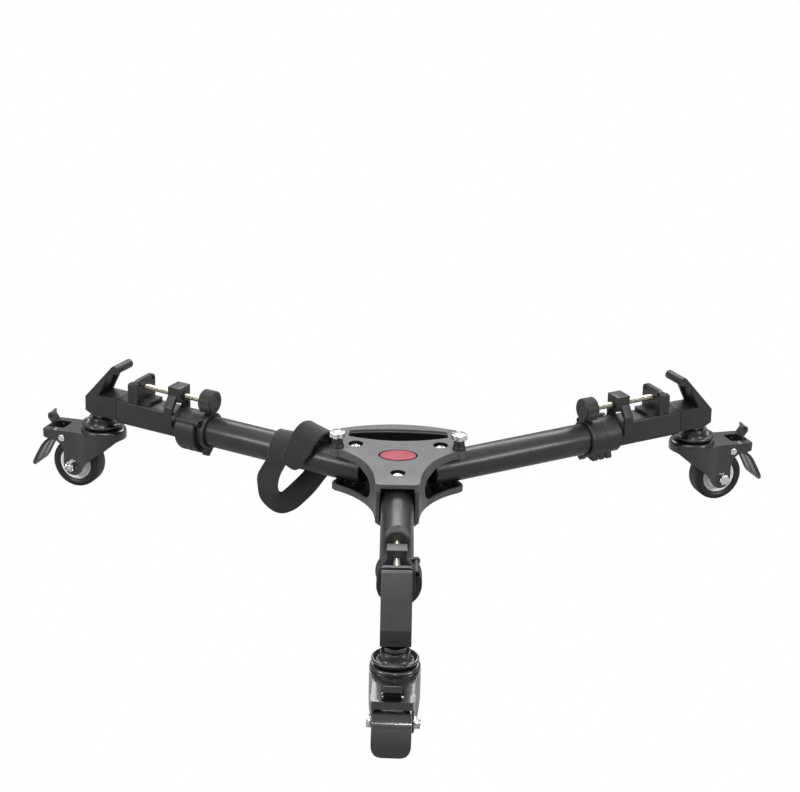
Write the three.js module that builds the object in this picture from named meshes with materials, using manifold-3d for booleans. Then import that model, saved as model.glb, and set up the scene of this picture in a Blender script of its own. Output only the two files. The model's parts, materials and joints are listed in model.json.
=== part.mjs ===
// Tripod dolly: three telescoping legs on a folding hub, each with a foot clamp and a braked caster.
// Millimetres, +Z up. The front leg points along -Y, the side legs 120 degrees from it.
import * as THREE from 'three';
import { mergeVertices } from 'three/addons/utils/BufferGeometryUtils.js';
import Module from 'manifold-3d';

const wasm = await Module();
wasm.setup();

// Clearances and overruns
const GAP = 0.3;            // running gap between neighbouring pieces
const CUT = 2;              // overrun of a cutting shape past the surface that it opens
const WELD = 0.002;         // points closer than this become one
const FULL = Math.PI * 2;
const deg = THREE.MathUtils.degToRad;

// Legs
const LEG_ANGLE = { left: 150, right: 30, front: -90 };
const LEG_AXIS_Z = 89.3;
const PIVOT_R = 45.8;       // hub centre to the pivot bolts
const TUBE_OD = 30;
const TUBE_WALL = 2;
const TUBE_TAIL = 11.5;     // tube behind the pivot bolt
const TUBE_END_R = 231;
const BOLT_D = 8;
const INNER_OD = 20;
const INNER_WALL = 1.6;

// Hub
const HUB_RISE = 23.2;
const HUB_TOP_Z = LEG_AXIS_Z + HUB_RISE;
const HUB_PLATE_T = 7.9;    // top plate
const BASE_T = 5;           // bottom plate
const FRONT_LOBE_R = 74;
const SIDE_LOBE_R = 62;
const BASE_LOBE_R = 70;
const LOBE_HALF_W = 20.5;
const BASE_HALF_W = 17;
const HUB_WAIST_R = 36;     // centre to the hollow between two lobes
const WALL_T = 4;
const HANDLE_REACH = 72.5;  // centre to the back of the carry handle
const HANDLE_BAR_W = 12.5;
const HANDLE_HALF_W = 55;
const HANDLE_T = 12;
const SLOT_FRONT_Y = 31;
const SLOT_HALF_W = 47;
const BADGE_L = 34;
const BADGE_W = 25;
const BADGE_T = 2.2;
const BADGE_Y = -4;
const BOLT_HEAD_D = 12.6;
const BOLT_HEAD_H = 3;
const COUNTERBORE = 4.2;
const BOLT_NUT_D = 14;
const BOLT_NUT_H = 5.5;
const LOCK_R = 56.2;        // lock screw, along the leg
const LOCK_T = 16;          // lock screw, to the side that folds
const LOCK_SLEEVE_D = 11;
const LOCK_SLEEVE_H = 10.5;
const LOCK_HEAD_D = 15.5;
const LOCK_HEAD_H = 6.5;
const LOCK_NECK_D = 4.8;
const LOCK_NECK_H = 2.2;

// Flip-lock collar
const COLLAR_LAP = 25;         // collar over the end of the tube
const COLLAR_L = 34.5;
const COLLAR_START_R = TUBE_END_R - COLLAR_LAP;
const COLLAR_END_R = COLLAR_START_R + COLLAR_L;
const COLLAR_D = 34.4;
const LIP_D = 36.6;
const LIP_L = 4.4;
const LEVER_T = 4.4;
const LEVER_TIP_T = 6.8;
const LEVER_PIN_D = 3.2;
const KNUCKLE_D = 6.6;
const KNUCKLE_L = 4;
const LEVER_PIN_ANGLE = 35;
const LEVER_PIN_R = 20.6;
const LEVER_START_ANGLE = 32;
const LEVER_END_ANGLE = -104;

// Rail, end bracket and foot clamp
const RAIL_W = 26;
const RAIL_CORNER = 6.5;
const RAIL_EDGE = 2.5;
const SOCKET_CORNER = 2;
const RAIL_DROP = 11.3;
const RAIL_BOTTOM_Z = LEG_AXIS_Z - RAIL_DROP;
const FLOOR_RISE = 14.2;
const FLOOR_Z = LEG_AXIS_Z + FLOOR_RISE;      // top of the rail and floor of the end bracket
const RAIL_GAP = 0.7;
const RAIL_L = 69.8;
const RAIL_START_R = COLLAR_END_R + RAIL_GAP;
const SEAM_R = RAIL_START_R + RAIL_L;
const INNER_SETBACK = 23;      // inner tube's end, short of the seam
const INNER_L = 196;
const INNER_END_R = SEAM_R - INNER_SETBACK;
const INNER_START_R = INNER_END_R - INNER_L;
const BRACKET_L = 36.5;
const BRACKET_END_R = SEAM_R + BRACKET_L;
const TOE_RISE = 4;
const BRACKET_BOTTOM_Z = RAIL_BOTTOM_Z + TOE_RISE;
const SLOPE_DROP = 3.9;
const SLOPE_START_Z = FLOOR_Z - SLOPE_DROP;
const NOSE_R = 4.4;
const NOSE_OFFSET = 1.2;
const NOSE_CENTRE_R = SEAM_R + NOSE_OFFSET;
const NOSE_RISE = 29.8;
const NOSE_CENTRE_Z = FLOOR_Z + NOSE_RISE;
const BACK_FOOT_OFFSET = 20.5;
const BACK_FOOT_R = SEAM_R + BACK_FOOT_OFFSET;  // where the back plate meets the floor
const BACK_BEND_OFFSET = 10.5;
const BACK_BEND_R = SEAM_R + BACK_BEND_OFFSET;
const BEND_RISE = 20.5;
const BACK_BEND_Z = FLOOR_Z + BEND_RISE;
const CHEEK_T = 3.2;
const RECESS_DEPTH = 4;
const SPIGOT_L = 16;
const SPIGOT_W = 18;
const SPIGOT_H = 15;
const SCREW_RISE = 15.7;
const SCREW_Z = FLOOR_Z + SCREW_RISE;
const SCREW_D = 5.8;
const KNOB_D = 22.6;
const KNOB_L = 14;
const KNOB_GROOVES = 14;
const YOKE_LAP = 10.8;
const YOKE_END_R = RAIL_START_R + YOKE_LAP;
const YOKE_T = 14;
const KNOB_SETBACK = 49.5;
const KNOB_START_R = YOKE_END_R - KNOB_SETBACK;
const KNOB_BORE_L = 11.5;
const SCREW_START_R = KNOB_START_R + KNOB_BORE_L;
const YOKE_LEG_T = 9.3;
const YOKE_RISE = 9.2;
const YOKE_TOP_Z = SCREW_Z + YOKE_RISE;
const YOKE_HALF_W = 8.7;
const YOKE_LEG_HALF_W = 16.2;
const ARCH_DROP = 5.2;
const YOKE_ARCH_Z = SCREW_Z - ARCH_DROP;
const YOKE_FOOT_Z = 90;
const BUSH_D = 9.2;
const BUSH_L = 1.6;
const JAW_SETBACK = 27.5;
const JAW_PLATE_R = SEAM_R - JAW_SETBACK;
const JAW_PLATE_T = 4.2;
const JAW_HALF_W = 15.4;
const JAW_RISE = 9.8;
const JAW_TOP_Z = SCREW_Z + JAW_RISE;
const JAW_CORNER = 6;
const JAW_HOLE_D = 3.8;
const JAW_HOLE_INSET = 4.4;
const JAW_CUP_L = 15.5;
const JAW_CUP_R = JAW_PLATE_R + JAW_CUP_L;
const JAW_CUP_HALF_W = 11;
const CUP_DROP = 5;
const JAW_CUP_TOP_Z = JAW_TOP_Z - CUP_DROP;
const JAW_SHOE_L = 11.5;
const JAW_SHOE_R = JAW_PLATE_R - JAW_SHOE_L;
const JAW_SHOE_H = 3.6;
const JAW_HOLLOW_R = 15;
const JAW_POCKET_D = 12;

// Caster
const SWIVEL_OFFSET = 25.7;
const SWIVEL_R = SEAM_R + SWIVEL_OFFSET;     // hub centre to the swivel axis
const CASTER_TURN = { left: 7, right: -7, front: -2 };
const WHEEL_R = 25;
const WHEEL_W = 20;
const DISC_R = 17;
const DISC_W = 17;
const TRAIL = 26.5;
const AXLE_D = 6;
const AXLE_HEX_D = 11.2;
const AXLE_HEAD_T = 4.2;
const HUB_BOSS_D = 13;
const FORK_TOP_Z = 61.4;
const FORK_SHEET = 2.2;
const FORK_HALF_W = 17.4;
const FORK_REACH = 61;
const FORK_TIP_R = 10.6;
const SKIRT_INSET = 3;
const SKIRT_REAR_H = 6.5;
const SKIRT_BEND_X = 16.5;
const SKIRT_BEND_H = 8.5;
const SKIRT_MIDDLE_X = 7;
const SKIRT_MIDDLE_H = 16;
const SKIRT_FOOT_X = 6;
const SKIRT_FOOT_H = 24.4;
const TIP_OFFSET = 1.2;
const CHEEK_FOOT_H = 26;
const CHEEK_BEND_X = 43;
const CHEEK_BEND_H = 19.5;
const CHEEK_TOP_X = 48.5;
const CHEEK_TOP_H = 13.6;
const LIP_CHAMFER = 3;
const LIP_SLANT = 2.4;
const ROOF_LIP_H = 7;
const CROWN_D = 48;
const CROWN_TOP_D = 41;
const CROWN_RISE = 1.2;
const CROWN_SKIRT_Z = 52.5;
const WINDOW_START = 37;
const WINDOW_END = 57.5;
const WINDOW_HALF_W = 9;
const RACE_D = 38.6;
const RACE_TOP_Z = 67.6;
const NUT_D = 22;
const NUT_H = 5.5;
const NECK_D = 16;
const STEM_D = 10;
const STEM_TOP_Z = 97;
const KINGPIN_D = 9;
const KINGPIN_HEAD_D = 15;
const KINGPIN_HEAD_T = 2;
const BRAKE_X = 37;         // brake rivet, from the swivel axis
const BRAKE_Z = 52.8;
const RIVET_D = 4;
const RIVET_HEAD_D = 8.4;
const RIVET_HEAD_T = 1.3;
const BARREL_D = 7;
const PEDAL_HALF_W = 16.3;
const PEDAL_T = 2.2;
const PEDAL_TIP_X = 75.5;
const PEDAL_TIP_Z = 16.5;
const PEDAL_ROOT_X = 50.5;
const PEDAL_ROOT_Z = 49;
const PEDAL_CORNER = 12;
const PEDAL_RIB = 1;
const EAR_HALF_W = 12.5;
const EAR_T = 2.2;
const TAB_HALF_W = 7.4;
const TAB_X = 52.4;
const TAB_TOP_Z = 77.5;
const TAB_LEAN = 4.5;

// Strap round the left leg tube
const STRAP_W = 24;
const STRAP_T = 1.8;
const STRAP_R_POS = 108;
const STRAP_GAP = 0.9;
const STRAP_DROP = 46;
const STRAP_EASE = 4.6;
const STRAP_TURN = 22;
const STRAP_SAG = 13;
const STRAP_SWAY = 14;
const FLAP_RISE = 9;

// Materials
const finish = (color, roughness, metalness) =>
  new THREE.MeshStandardMaterial({ color, roughness, metalness });
const GREY_CAST = finish(0x6c6c70, 0.5, 0.2);
const DARK_CAST = finish(0x3c3c3e, 0.5, 0.3);
const BLACK_GLOSS = finish(0x1c1c1e, 0.25, 0.3);
const BLACK_PLASTIC = finish(0x262628, 0.5, 0);
const STEEL = finish(0xd0d0cc, 0.25, 1);
const RUBBER = finish(0x202022, 0.6, 0);
const PALE_DISC = finish(0xe6e6e6, 0.4, 0.1);
const WEBBING = finish(0x1d1d1f, 0.9, 0);
const RED_INLAY = finish(0xc4485a, 0.35, 0);

// Closed geometry to a solid, and back
function solid(geometry) {
  const bare = geometry.index ? geometry.clone() : geometry;
  for (const name of Object.keys(bare.attributes)) {
    if (name !== 'position') bare.deleteAttribute(name);
  }
  const merged = mergeVertices(bare, 1e-4);
  const vertProperties = new Float32Array(merged.attributes.position.array);
  const triVerts = new Uint32Array(merged.index.array);
  return new wasm.Manifold(new wasm.Mesh({ numProp: 3, vertProperties, triVerts }));
}

function geometryOf(body) {
  const data = body.getMesh();
  const raw = new THREE.BufferGeometry();
  raw.setAttribute('position', new THREE.BufferAttribute(data.vertProperties, 3));
  raw.setIndex(new THREE.BufferAttribute(data.triVerts, 1));
  const geometry = mergeVertices(raw, WELD);
  const corners = geometry.index.array;
  const kept = [];
  for (let i = 0; i < corners.length; i += 3) {
    const [a, b, c] = corners.slice(i, i + 3);
    if (a !== b && b !== c && c !== a) kept.push(a, b, c);
  }
  geometry.setIndex(kept);
  geometry.computeVertexNormals();
  return geometry;
}

const join = (first, ...others) => others.reduce((sum, next) => sum.add(next), first);
const cut = (first, ...others) => others.reduce((rest, next) => rest.subtract(next), first);

// Basic shapes, each placed where it belongs in its group's frame
function box(x0, x1, y0, y1, z0, z1) {
  const geometry = new THREE.BoxGeometry(x1 - x0, y1 - y0, z1 - z0);
  return solid(geometry.translate((x0 + x1) / 2, (y0 + y1) / 2, (z0 + z1) / 2));
}

function rodZ(radius, x, y, z0, z1, sides = 14) {
  const geometry = new THREE.CylinderGeometry(radius, radius, z1 - z0, sides);
  return solid(geometry.rotateX(Math.PI / 2).translate(x, y, (z0 + z1) / 2));
}

function coneZ(lowRadius, topRadius, z0, z1, sides) {
  const geometry = new THREE.CylinderGeometry(topRadius, lowRadius, z1 - z0, sides);
  return solid(geometry.rotateX(Math.PI / 2).translate(0, 0, (z0 + z1) / 2));
}

function rodX(radius, x0, x1, y, z, sides = 14) {
  const geometry = new THREE.CylinderGeometry(radius, radius, x1 - x0, sides);
  return solid(geometry.rotateZ(-Math.PI / 2).translate((x0 + x1) / 2, y, z));
}

function rodY(radius, x, y0, y1, z, sides = 14) {
  const geometry = new THREE.CylinderGeometry(radius, radius, y1 - y0, sides);
  return solid(geometry.translate(x, (y0 + y1) / 2, z));
}

// Lathe profile of [radius, height] pairs, turned about Z, X or Y
function turned(profile, sides, axis = 'z') {
  const points = profile.map(([radius, height]) => new THREE.Vector2(radius, height));
  if (profile[0][0] > 0 || profile.at(-1)[0] > 0) points.push(points[0].clone());
  const geometry = new THREE.LatheGeometry(points, sides);
  if (axis === 'z') geometry.rotateX(Math.PI / 2);
  if (axis === 'x') geometry.rotateZ(-Math.PI / 2);
  return geometry;
}

// Outline in the X-Z plane, spread along Y from y0 to y1
function slabY(shape, y0, y1, curveSegments = 5) {
  const options = { depth: y1 - y0, bevelEnabled: false, curveSegments };
  const geometry = new THREE.ExtrudeGeometry(shape, options);
  return solid(geometry.rotateX(Math.PI / 2).translate(0, y1, 0));
}

// Outline in the Y-Z plane, spread along X from x0 to x1
function slabX(shape, x0, x1, curveSegments = 3) {
  const options = { depth: x1 - x0, bevelEnabled: false, curveSegments };
  const geometry = new THREE.ExtrudeGeometry(shape, options);
  const basis = new THREE.Matrix4().makeBasis(
    new THREE.Vector3(0, 1, 0), new THREE.Vector3(0, 0, 1), new THREE.Vector3(1, 0, 0));
  return solid(geometry.applyMatrix4(basis).translate(x0, 0, 0));
}

// Outline in the X-Y plane, spread along Z from z0 to z1
function slabZ(shape, z0, z1, curveSegments = 5) {
  const options = { depth: z1 - z0, bevelEnabled: false, curveSegments };
  return solid(new THREE.ExtrudeGeometry(shape, options).translate(0, 0, z0));
}

function outline(points) {
  return new THREE.Shape(points.map(([x, y]) => new THREE.Vector2(x, y)));
}

function roundedRect(x0, x1, y0, y1, lower, upper) {
  const shape = new THREE.Shape();
  shape.moveTo(x0 + lower, y0);
  shape.lineTo(x1 - lower, y0);
  shape.quadraticCurveTo(x1, y0, x1, y0 + lower);
  shape.lineTo(x1, y1 - upper);
  shape.quadraticCurveTo(x1, y1, x1 - upper, y1);
  shape.lineTo(x0 + upper, y1);
  shape.quadraticCurveTo(x0, y1, x0, y1 - upper);
  shape.lineTo(x0, y0 + lower);
  shape.quadraticCurveTo(x0, y0, x0 + lower, y0);
  return shape;
}

const dolly = new THREE.Group();

function addMesh(parent, name, shape, material) {
  const geometry = shape.isBufferGeometry ? shape : geometryOf(shape);
  const mesh = new THREE.Mesh(geometry, material);
  mesh.name = name;
  parent.add(mesh);
  return mesh;
}

// Plan outline of a hub plate: three lobes with hollows between them
function lobedPlate(sideReach, frontReach, halfWidth, waist) {
  const shape = new THREE.Shape();
  const corner = halfWidth / 3;
  const point = (angle, along, side) => {
    const a = deg(angle);
    return [along * Math.cos(a) - side * Math.sin(a), along * Math.sin(a) + side * Math.cos(a)];
  };
  const order = [[LEG_ANGLE.front, frontReach], [LEG_ANGLE.right, sideReach], [LEG_ANGLE.left, sideReach]];
  order.forEach(([angle, reach], index) => {
    const first = point(angle, reach - corner, -halfWidth);
    if (index === 0) shape.moveTo(...first);
    shape.quadraticCurveTo(...point(angle, reach, -halfWidth), ...point(angle, reach, corner - halfWidth));
    shape.lineTo(...point(angle, reach, halfWidth - corner));
    shape.quadraticCurveTo(...point(angle, reach, halfWidth), ...point(angle, reach - corner, halfWidth));
    const [nextAngle, nextReach] = order[(index + 1) % order.length];
    const end = point(nextAngle, nextReach - corner, -halfWidth);
    const middle = point(angle + 60, waist * 0.72, 0);
    shape.quadraticCurveTo(...middle, ...end);
  });
  return shape;
}

// Arched grip behind the hub, open in the middle for the fingers
function handlePlate() {
  const shape = new THREE.Shape();
  const shoulder = SLOT_FRONT_Y - WALL_T;
  shape.moveTo(-HANDLE_HALF_W, shoulder);
  shape.lineTo(HANDLE_HALF_W, shoulder);
  shape.lineTo(HANDLE_HALF_W, HANDLE_REACH - HANDLE_BAR_W);
  shape.quadraticCurveTo(HANDLE_HALF_W / 2, HANDLE_REACH, 0, HANDLE_REACH);
  shape.quadraticCurveTo(-HANDLE_HALF_W / 2, HANDLE_REACH, -HANDLE_HALF_W, HANDLE_REACH - HANDLE_BAR_W);
  return shape;
}

function fingerSlot() {
  const shape = new THREE.Shape();
  const back = HANDLE_REACH - HANDLE_BAR_W;
  const tip = (SLOT_FRONT_Y + back) / 2 - WALL_T;
  shape.moveTo(-SLOT_HALF_W, tip);
  shape.quadraticCurveTo(-SLOT_HALF_W / 2, SLOT_FRONT_Y, 0, SLOT_FRONT_Y);
  shape.quadraticCurveTo(SLOT_HALF_W / 2, SLOT_FRONT_Y, SLOT_HALF_W, tip);
  shape.quadraticCurveTo(SLOT_HALF_W, back - WALL_T, SLOT_HALF_W - WALL_T, back - WALL_T);
  shape.quadraticCurveTo(SLOT_HALF_W / 2, back, 0, back);
  shape.quadraticCurveTo(-SLOT_HALF_W / 2, back, WALL_T - SLOT_HALF_W, back - WALL_T);
  shape.quadraticCurveTo(-SLOT_HALF_W, back - WALL_T, -SLOT_HALF_W, tip);
  return shape;
}

function legPoint(leg, along, side) {
  const a = deg(LEG_ANGLE[leg]);
  return [along * Math.cos(a) - side * Math.sin(a), along * Math.sin(a) + side * Math.cos(a)];
}

const BASE_TOP_Z = LEG_AXIS_Z - TUBE_OD / 2 - GAP;
const BASE_BOTTOM_Z = BASE_TOP_Z - BASE_T;
const PLATE_BOTTOM_Z = HUB_TOP_Z - HUB_PLATE_T;

// Walls of the front socket, and the rear wall between the side legs
function hubWalls() {
  const inner = TUBE_OD / 2 + GAP + WALL_T / 2;
  const back = HUB_WAIST_R - WALL_T;
  const walls = [-1, 1].map((side) => {
    const near = side * inner;
    const far = side * (inner + WALL_T);
    return box(Math.min(near, far), Math.max(near, far), -FRONT_LOBE_R + WALL_T, -back,
      BASE_TOP_Z + GAP, PLATE_BOTTOM_Z + CUT);
  });
  const rearHalf = HUB_WAIST_R / 2;
  const rear = box(-rearHalf, rearHalf, SLOT_FRONT_Y - 2 * WALL_T, SLOT_FRONT_Y - WALL_T,
    BASE_TOP_Z + GAP, PLATE_BOTTOM_Z + CUT);
  return [...walls, rear];
}

function hubTop() {
  const plate = slabZ(lobedPlate(SIDE_LOBE_R, FRONT_LOBE_R, LOBE_HALF_W, HUB_WAIST_R),
    PLATE_BOTTOM_Z, HUB_TOP_Z);
  const grip = slabZ(handlePlate(), HUB_TOP_Z - HUB_PLATE_T, HUB_TOP_Z);
  const bar = slabZ(handlePlate(), HUB_TOP_Z - HANDLE_T, HUB_TOP_Z)
    .intersect(box(-HANDLE_HALF_W, HANDLE_HALF_W, HANDLE_REACH - 2 * HANDLE_BAR_W, HANDLE_REACH,
      HUB_TOP_Z - HANDLE_T, HUB_TOP_Z));
  const bosses = ['left', 'right'].map((leg) => {
    const [x, y] = legPoint(leg, LOCK_R, leg === 'left' ? LOCK_T : -LOCK_T);
    return rodZ(LOCK_SLEEVE_D / 2 + WALL_T / 4, x, y, PLATE_BOTTOM_Z, HUB_TOP_Z);
  });
  let body = join(plate, grip, bar, ...bosses, ...hubWalls());
  body = cut(body, slabZ(fingerSlot(), BASE_BOTTOM_Z, HUB_TOP_Z + CUT));
  for (const leg of Object.keys(LEG_ANGLE)) {
    const [x, y] = legPoint(leg, PIVOT_R, 0);
    body = cut(body,
      rodZ(BOLT_D / 2 + GAP, x, y, PLATE_BOTTOM_Z - CUT, HUB_TOP_Z + CUT),
      rodZ(BOLT_HEAD_D / 2 + 2 * GAP, x, y, HUB_TOP_Z - COUNTERBORE, HUB_TOP_Z + CUT));
  }
  for (const leg of ['left', 'right']) {
    const [x, y] = legPoint(leg, LOCK_R, leg === 'left' ? LOCK_T : -LOCK_T);
    body = cut(body, rodZ(LOCK_NECK_D / 2 + GAP, x, y, PLATE_BOTTOM_Z - CUT, HUB_TOP_Z + CUT));
  }
  const seat = rodZ(1, 0, 0, 0, 1, 24);
  return cut(body, scaled(seat, BADGE_L / 2 + GAP, BADGE_W / 2 + GAP, BADGE_T,
    0, BADGE_Y, HUB_TOP_Z - BADGE_T + GAP * 2));
}

function scaled(unit, sx, sy, sz, x, y, z) {
  const geometry = geometryOf(unit).scale(sx, sy, sz).translate(x, y, z);
  return solid(geometry);
}

function hubBase() {
  const plate = slabZ(lobedPlate(BASE_LOBE_R, FRONT_LOBE_R - WALL_T, BASE_HALF_W + WALL_T / 2, HUB_WAIST_R),
    BASE_BOTTOM_Z, BASE_TOP_Z);
  const holes = Object.keys(LEG_ANGLE).map((leg) => {
    const [x, y] = legPoint(leg, PIVOT_R, 0);
    return rodZ(BOLT_D / 2 + GAP, x, y, BASE_BOTTOM_Z - CUT, BASE_TOP_Z + CUT);
  });
  return cut(plate, ...holes);
}

function buildHub() {
  addMesh(dolly, 'hub_top', hubTop(), GREY_CAST);
  addMesh(dolly, 'hub_base', hubBase(), GREY_CAST);
  const oval = new THREE.CylinderGeometry(1, 1, 1, 24).rotateX(Math.PI / 2);
  const badge = solid(oval.scale(BADGE_L / 2, BADGE_W / 2, BADGE_T));
  const inlay = addMesh(dolly, 'hub_badge', badge, RED_INLAY);
  inlay.position.set(0, BADGE_Y, HUB_TOP_Z - BADGE_T / 2 + GAP * 3);
}

// Pivot bolt through both hub plates and the end of a leg tube
function pivotBolt() {
  const seatZ = HUB_TOP_Z - COUNTERBORE + GAP;
  const half = BOLT_D / 2;
  const head = BOLT_HEAD_D / 2;
  const nutTop = BASE_BOTTOM_Z - GAP;
  const profile = [[0, nutTop - BOLT_NUT_H], [BOLT_NUT_D / 2, nutTop - BOLT_NUT_H], [BOLT_NUT_D / 2, nutTop],
    [half, nutTop], [half, seatZ], [head, seatZ], [head, seatZ + BOLT_HEAD_H * 2 / 3],
    [head * 2 / 3, seatZ + BOLT_HEAD_H], [0, seatZ + BOLT_HEAD_H]];
  return turned(profile, 12);
}

// Thumb screw in its sleeve, on the edge of a side lobe
function lockSleeve() {
  const inner = LOCK_NECK_D / 2 + GAP;
  const outer = LOCK_SLEEVE_D / 2;
  const z0 = HUB_TOP_Z + GAP;
  const z1 = z0 + LOCK_SLEEVE_H;
  return turned([[inner, z0], [outer, z0], [outer, z1 - GAP * 2], [outer - GAP * 2, z1], [inner, z1]], 12);
}

function lockScrew() {
  const z1 = HUB_TOP_Z + LOCK_SLEEVE_H + LOCK_NECK_H;
  const neck = LOCK_NECK_D / 2;
  const head = LOCK_HEAD_D / 2;
  const chamfer = LOCK_HEAD_H / 4;
  const profile = [[0, PLATE_BOTTOM_Z], [neck, PLATE_BOTTOM_Z], [neck, z1], [head - chamfer, z1],
    [head, z1 + chamfer],
    [head, z1 + LOCK_HEAD_H - chamfer], [head - chamfer, z1 + LOCK_HEAD_H], [0, z1 + LOCK_HEAD_H]];
  return turned(profile, 12);
}

function legTube() {
  const start = PIVOT_R - TUBE_TAIL;
  const outer = rodX(TUBE_OD / 2, start, TUBE_END_R, 0, LEG_AXIS_Z, 20);
  const bore = rodX(TUBE_OD / 2 - TUBE_WALL, start - CUT, TUBE_END_R + CUT, 0, LEG_AXIS_Z, 20);
  const hole = rodZ(BOLT_D / 2 + GAP, PIVOT_R, 0, LEG_AXIS_Z - TUBE_OD, LEG_AXIS_Z + TUBE_OD, 10);
  return cut(outer, bore, hole);
}

// Inner tube with the guide plug that keeps it centred in the leg tube
function innerTube() {
  const guide = TUBE_OD / 2 - TUBE_WALL - GAP;
  const tube = rodX(INNER_OD / 2, INNER_START_R, INNER_END_R, 0, LEG_AXIS_Z);
  const plug = rodX(guide, INNER_START_R, INNER_START_R + INNER_OD / 2, 0, LEG_AXIS_Z);
  const bore = rodX(INNER_OD / 2 - INNER_WALL, INNER_START_R - CUT, INNER_END_R + CUT, 0, LEG_AXIS_Z);
  return cut(join(tube, plug), bore);
}

function collarPoint(radius, angle) {
  return [radius * Math.cos(deg(angle)), LEG_AXIS_Z + radius * Math.sin(deg(angle))];
}

// Split collar that clamps the inner tube, with two knuckles for the lever
function lockCollar() {
  const tubeBore = TUBE_OD / 2 + GAP;
  const innerBore = INNER_OD / 2 + GAP;
  const shoulder = TUBE_END_R + GAP;
  const outer = COLLAR_D / 2;
  const profile = [[tubeBore, COLLAR_START_R], [LIP_D / 2 - GAP, COLLAR_START_R],
    [LIP_D / 2, COLLAR_START_R + GAP],
    [LIP_D / 2, COLLAR_START_R + LIP_L], [outer, COLLAR_START_R + LIP_L], [outer, COLLAR_END_R - GAP * 2],
    [outer - GAP * 2, COLLAR_END_R], [innerBore, COLLAR_END_R], [innerBore, shoulder], [tubeBore, shoulder]];
  const ring = solid(turned(profile, 20, 'x').translate(0, 0, LEG_AXIS_Z));
  const [pinY, pinZ] = collarPoint(LEVER_PIN_R, LEVER_PIN_ANGLE);
  const first = COLLAR_START_R + LIP_L;
  const last = COLLAR_END_R - KNUCKLE_L;
  const knuckles = [first, last].map((x) => rodX(KNUCKLE_D / 2, x, x + KNUCKLE_L, pinY, pinZ, 10));
  const webs = [first, last].map((x) => {
    const [y0, z0] = collarPoint(outer - GAP * 3, LEVER_PIN_ANGLE - 8);
    const [y1, z1] = collarPoint(LEVER_PIN_R, LEVER_PIN_ANGLE - 6);
    const [y2, z2] = collarPoint(LEVER_PIN_R + KNUCKLE_D / 3, LEVER_PIN_ANGLE + 4);
    const [y3, z3] = collarPoint(outer - GAP * 3, LEVER_PIN_ANGLE + 24);
    return slabX(outline([[y0, z0], [y1, z1], [y2, z2], [y3, z3]]), x, x + KNUCKLE_L);
  });
  const pinHoles = [first, last].map((x) =>
    rodX(LEVER_PIN_D / 2 + GAP, x - CUT / 4, x + KNUCKLE_L + CUT / 4, pinY, pinZ, 8));
  return cut(join(ring, ...knuckles, ...webs), ...pinHoles);
}

// Curved lever that wraps round the collar from its pin to a flared, grooved tip
function lockLever() {
  const inner = COLLAR_D / 2 + GAP * 1.5;
  const shape = new THREE.Shape();
  const steps = 9;
  const sweep = LEVER_END_ANGLE - LEVER_START_ANGLE;
  const thickness = (share) => LEVER_T + (LEVER_TIP_T - LEVER_T) * Math.max(0, share * 2.4 - 1.4);
  for (let i = 0; i <= steps; i++) {
    const share = i / steps;
    const [y, z] = collarPoint(inner + thickness(share), LEVER_START_ANGLE + sweep * share);
    if (i === 0) shape.moveTo(y, z);
    else shape.lineTo(y, z);
  }
  for (let i = steps; i >= 0; i--) {
    const [y, z] = collarPoint(inner, LEVER_START_ANGLE + sweep * i / steps);
    shape.lineTo(y, z);
  }
  const first = COLLAR_START_R + LIP_L + KNUCKLE_L + GAP;
  const last = COLLAR_END_R - KNUCKLE_L - GAP;
  const [pinY, pinZ] = collarPoint(LEVER_PIN_R, LEVER_PIN_ANGLE);
  const barrel = rodX(LEVER_T / 2 + GAP, first, last, pinY, pinZ, 10);
  const pin = rodX(LEVER_PIN_D / 2, first - KNUCKLE_L, last + KNUCKLE_L, pinY, pinZ, 8);
  const [tipY, tipZ] = collarPoint(inner + LEVER_TIP_T, LEVER_END_ANGLE + 14);
  const pitch = (last - first) / 4;
  const grooves = [1, 2, 3].map((index) =>
    rodX(LEVER_TIP_T / 2, first + pitch * (index - 0.14), first + pitch * (index + 0.14), tipY, tipZ, 6));
  return cut(join(slabX(shape, first, last), barrel, pin), ...grooves);
}

// Rail: an extruded saddle with a bore for the inner tube and a socket for the bracket's spigot
const SPIGOT_Z = (RAIL_BOTTOM_Z + FLOOR_Z) / 2 + GAP;

function saddleRail() {
  const half = RAIL_W / 2;
  const body = slabX(roundedRect(-half, half, RAIL_BOTTOM_Z, FLOOR_Z, RAIL_CORNER, RAIL_EDGE), RAIL_START_R,
    SEAM_R - GAP);
  const bore = rodX(INNER_OD / 2 + GAP, RAIL_START_R - CUT, INNER_END_R + GAP, 0, LEG_AXIS_Z);
  const socket = slabX(roundedRect(-SPIGOT_W / 2 - GAP, SPIGOT_W / 2 + GAP, SPIGOT_Z - SPIGOT_H / 2 - GAP,
    SPIGOT_Z + SPIGOT_H / 2 + GAP, SOCKET_CORNER, SOCKET_CORNER), SEAM_R - SPIGOT_L - 2 * GAP, SEAM_R + CUT);
  return cut(body, bore, socket);
}

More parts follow.
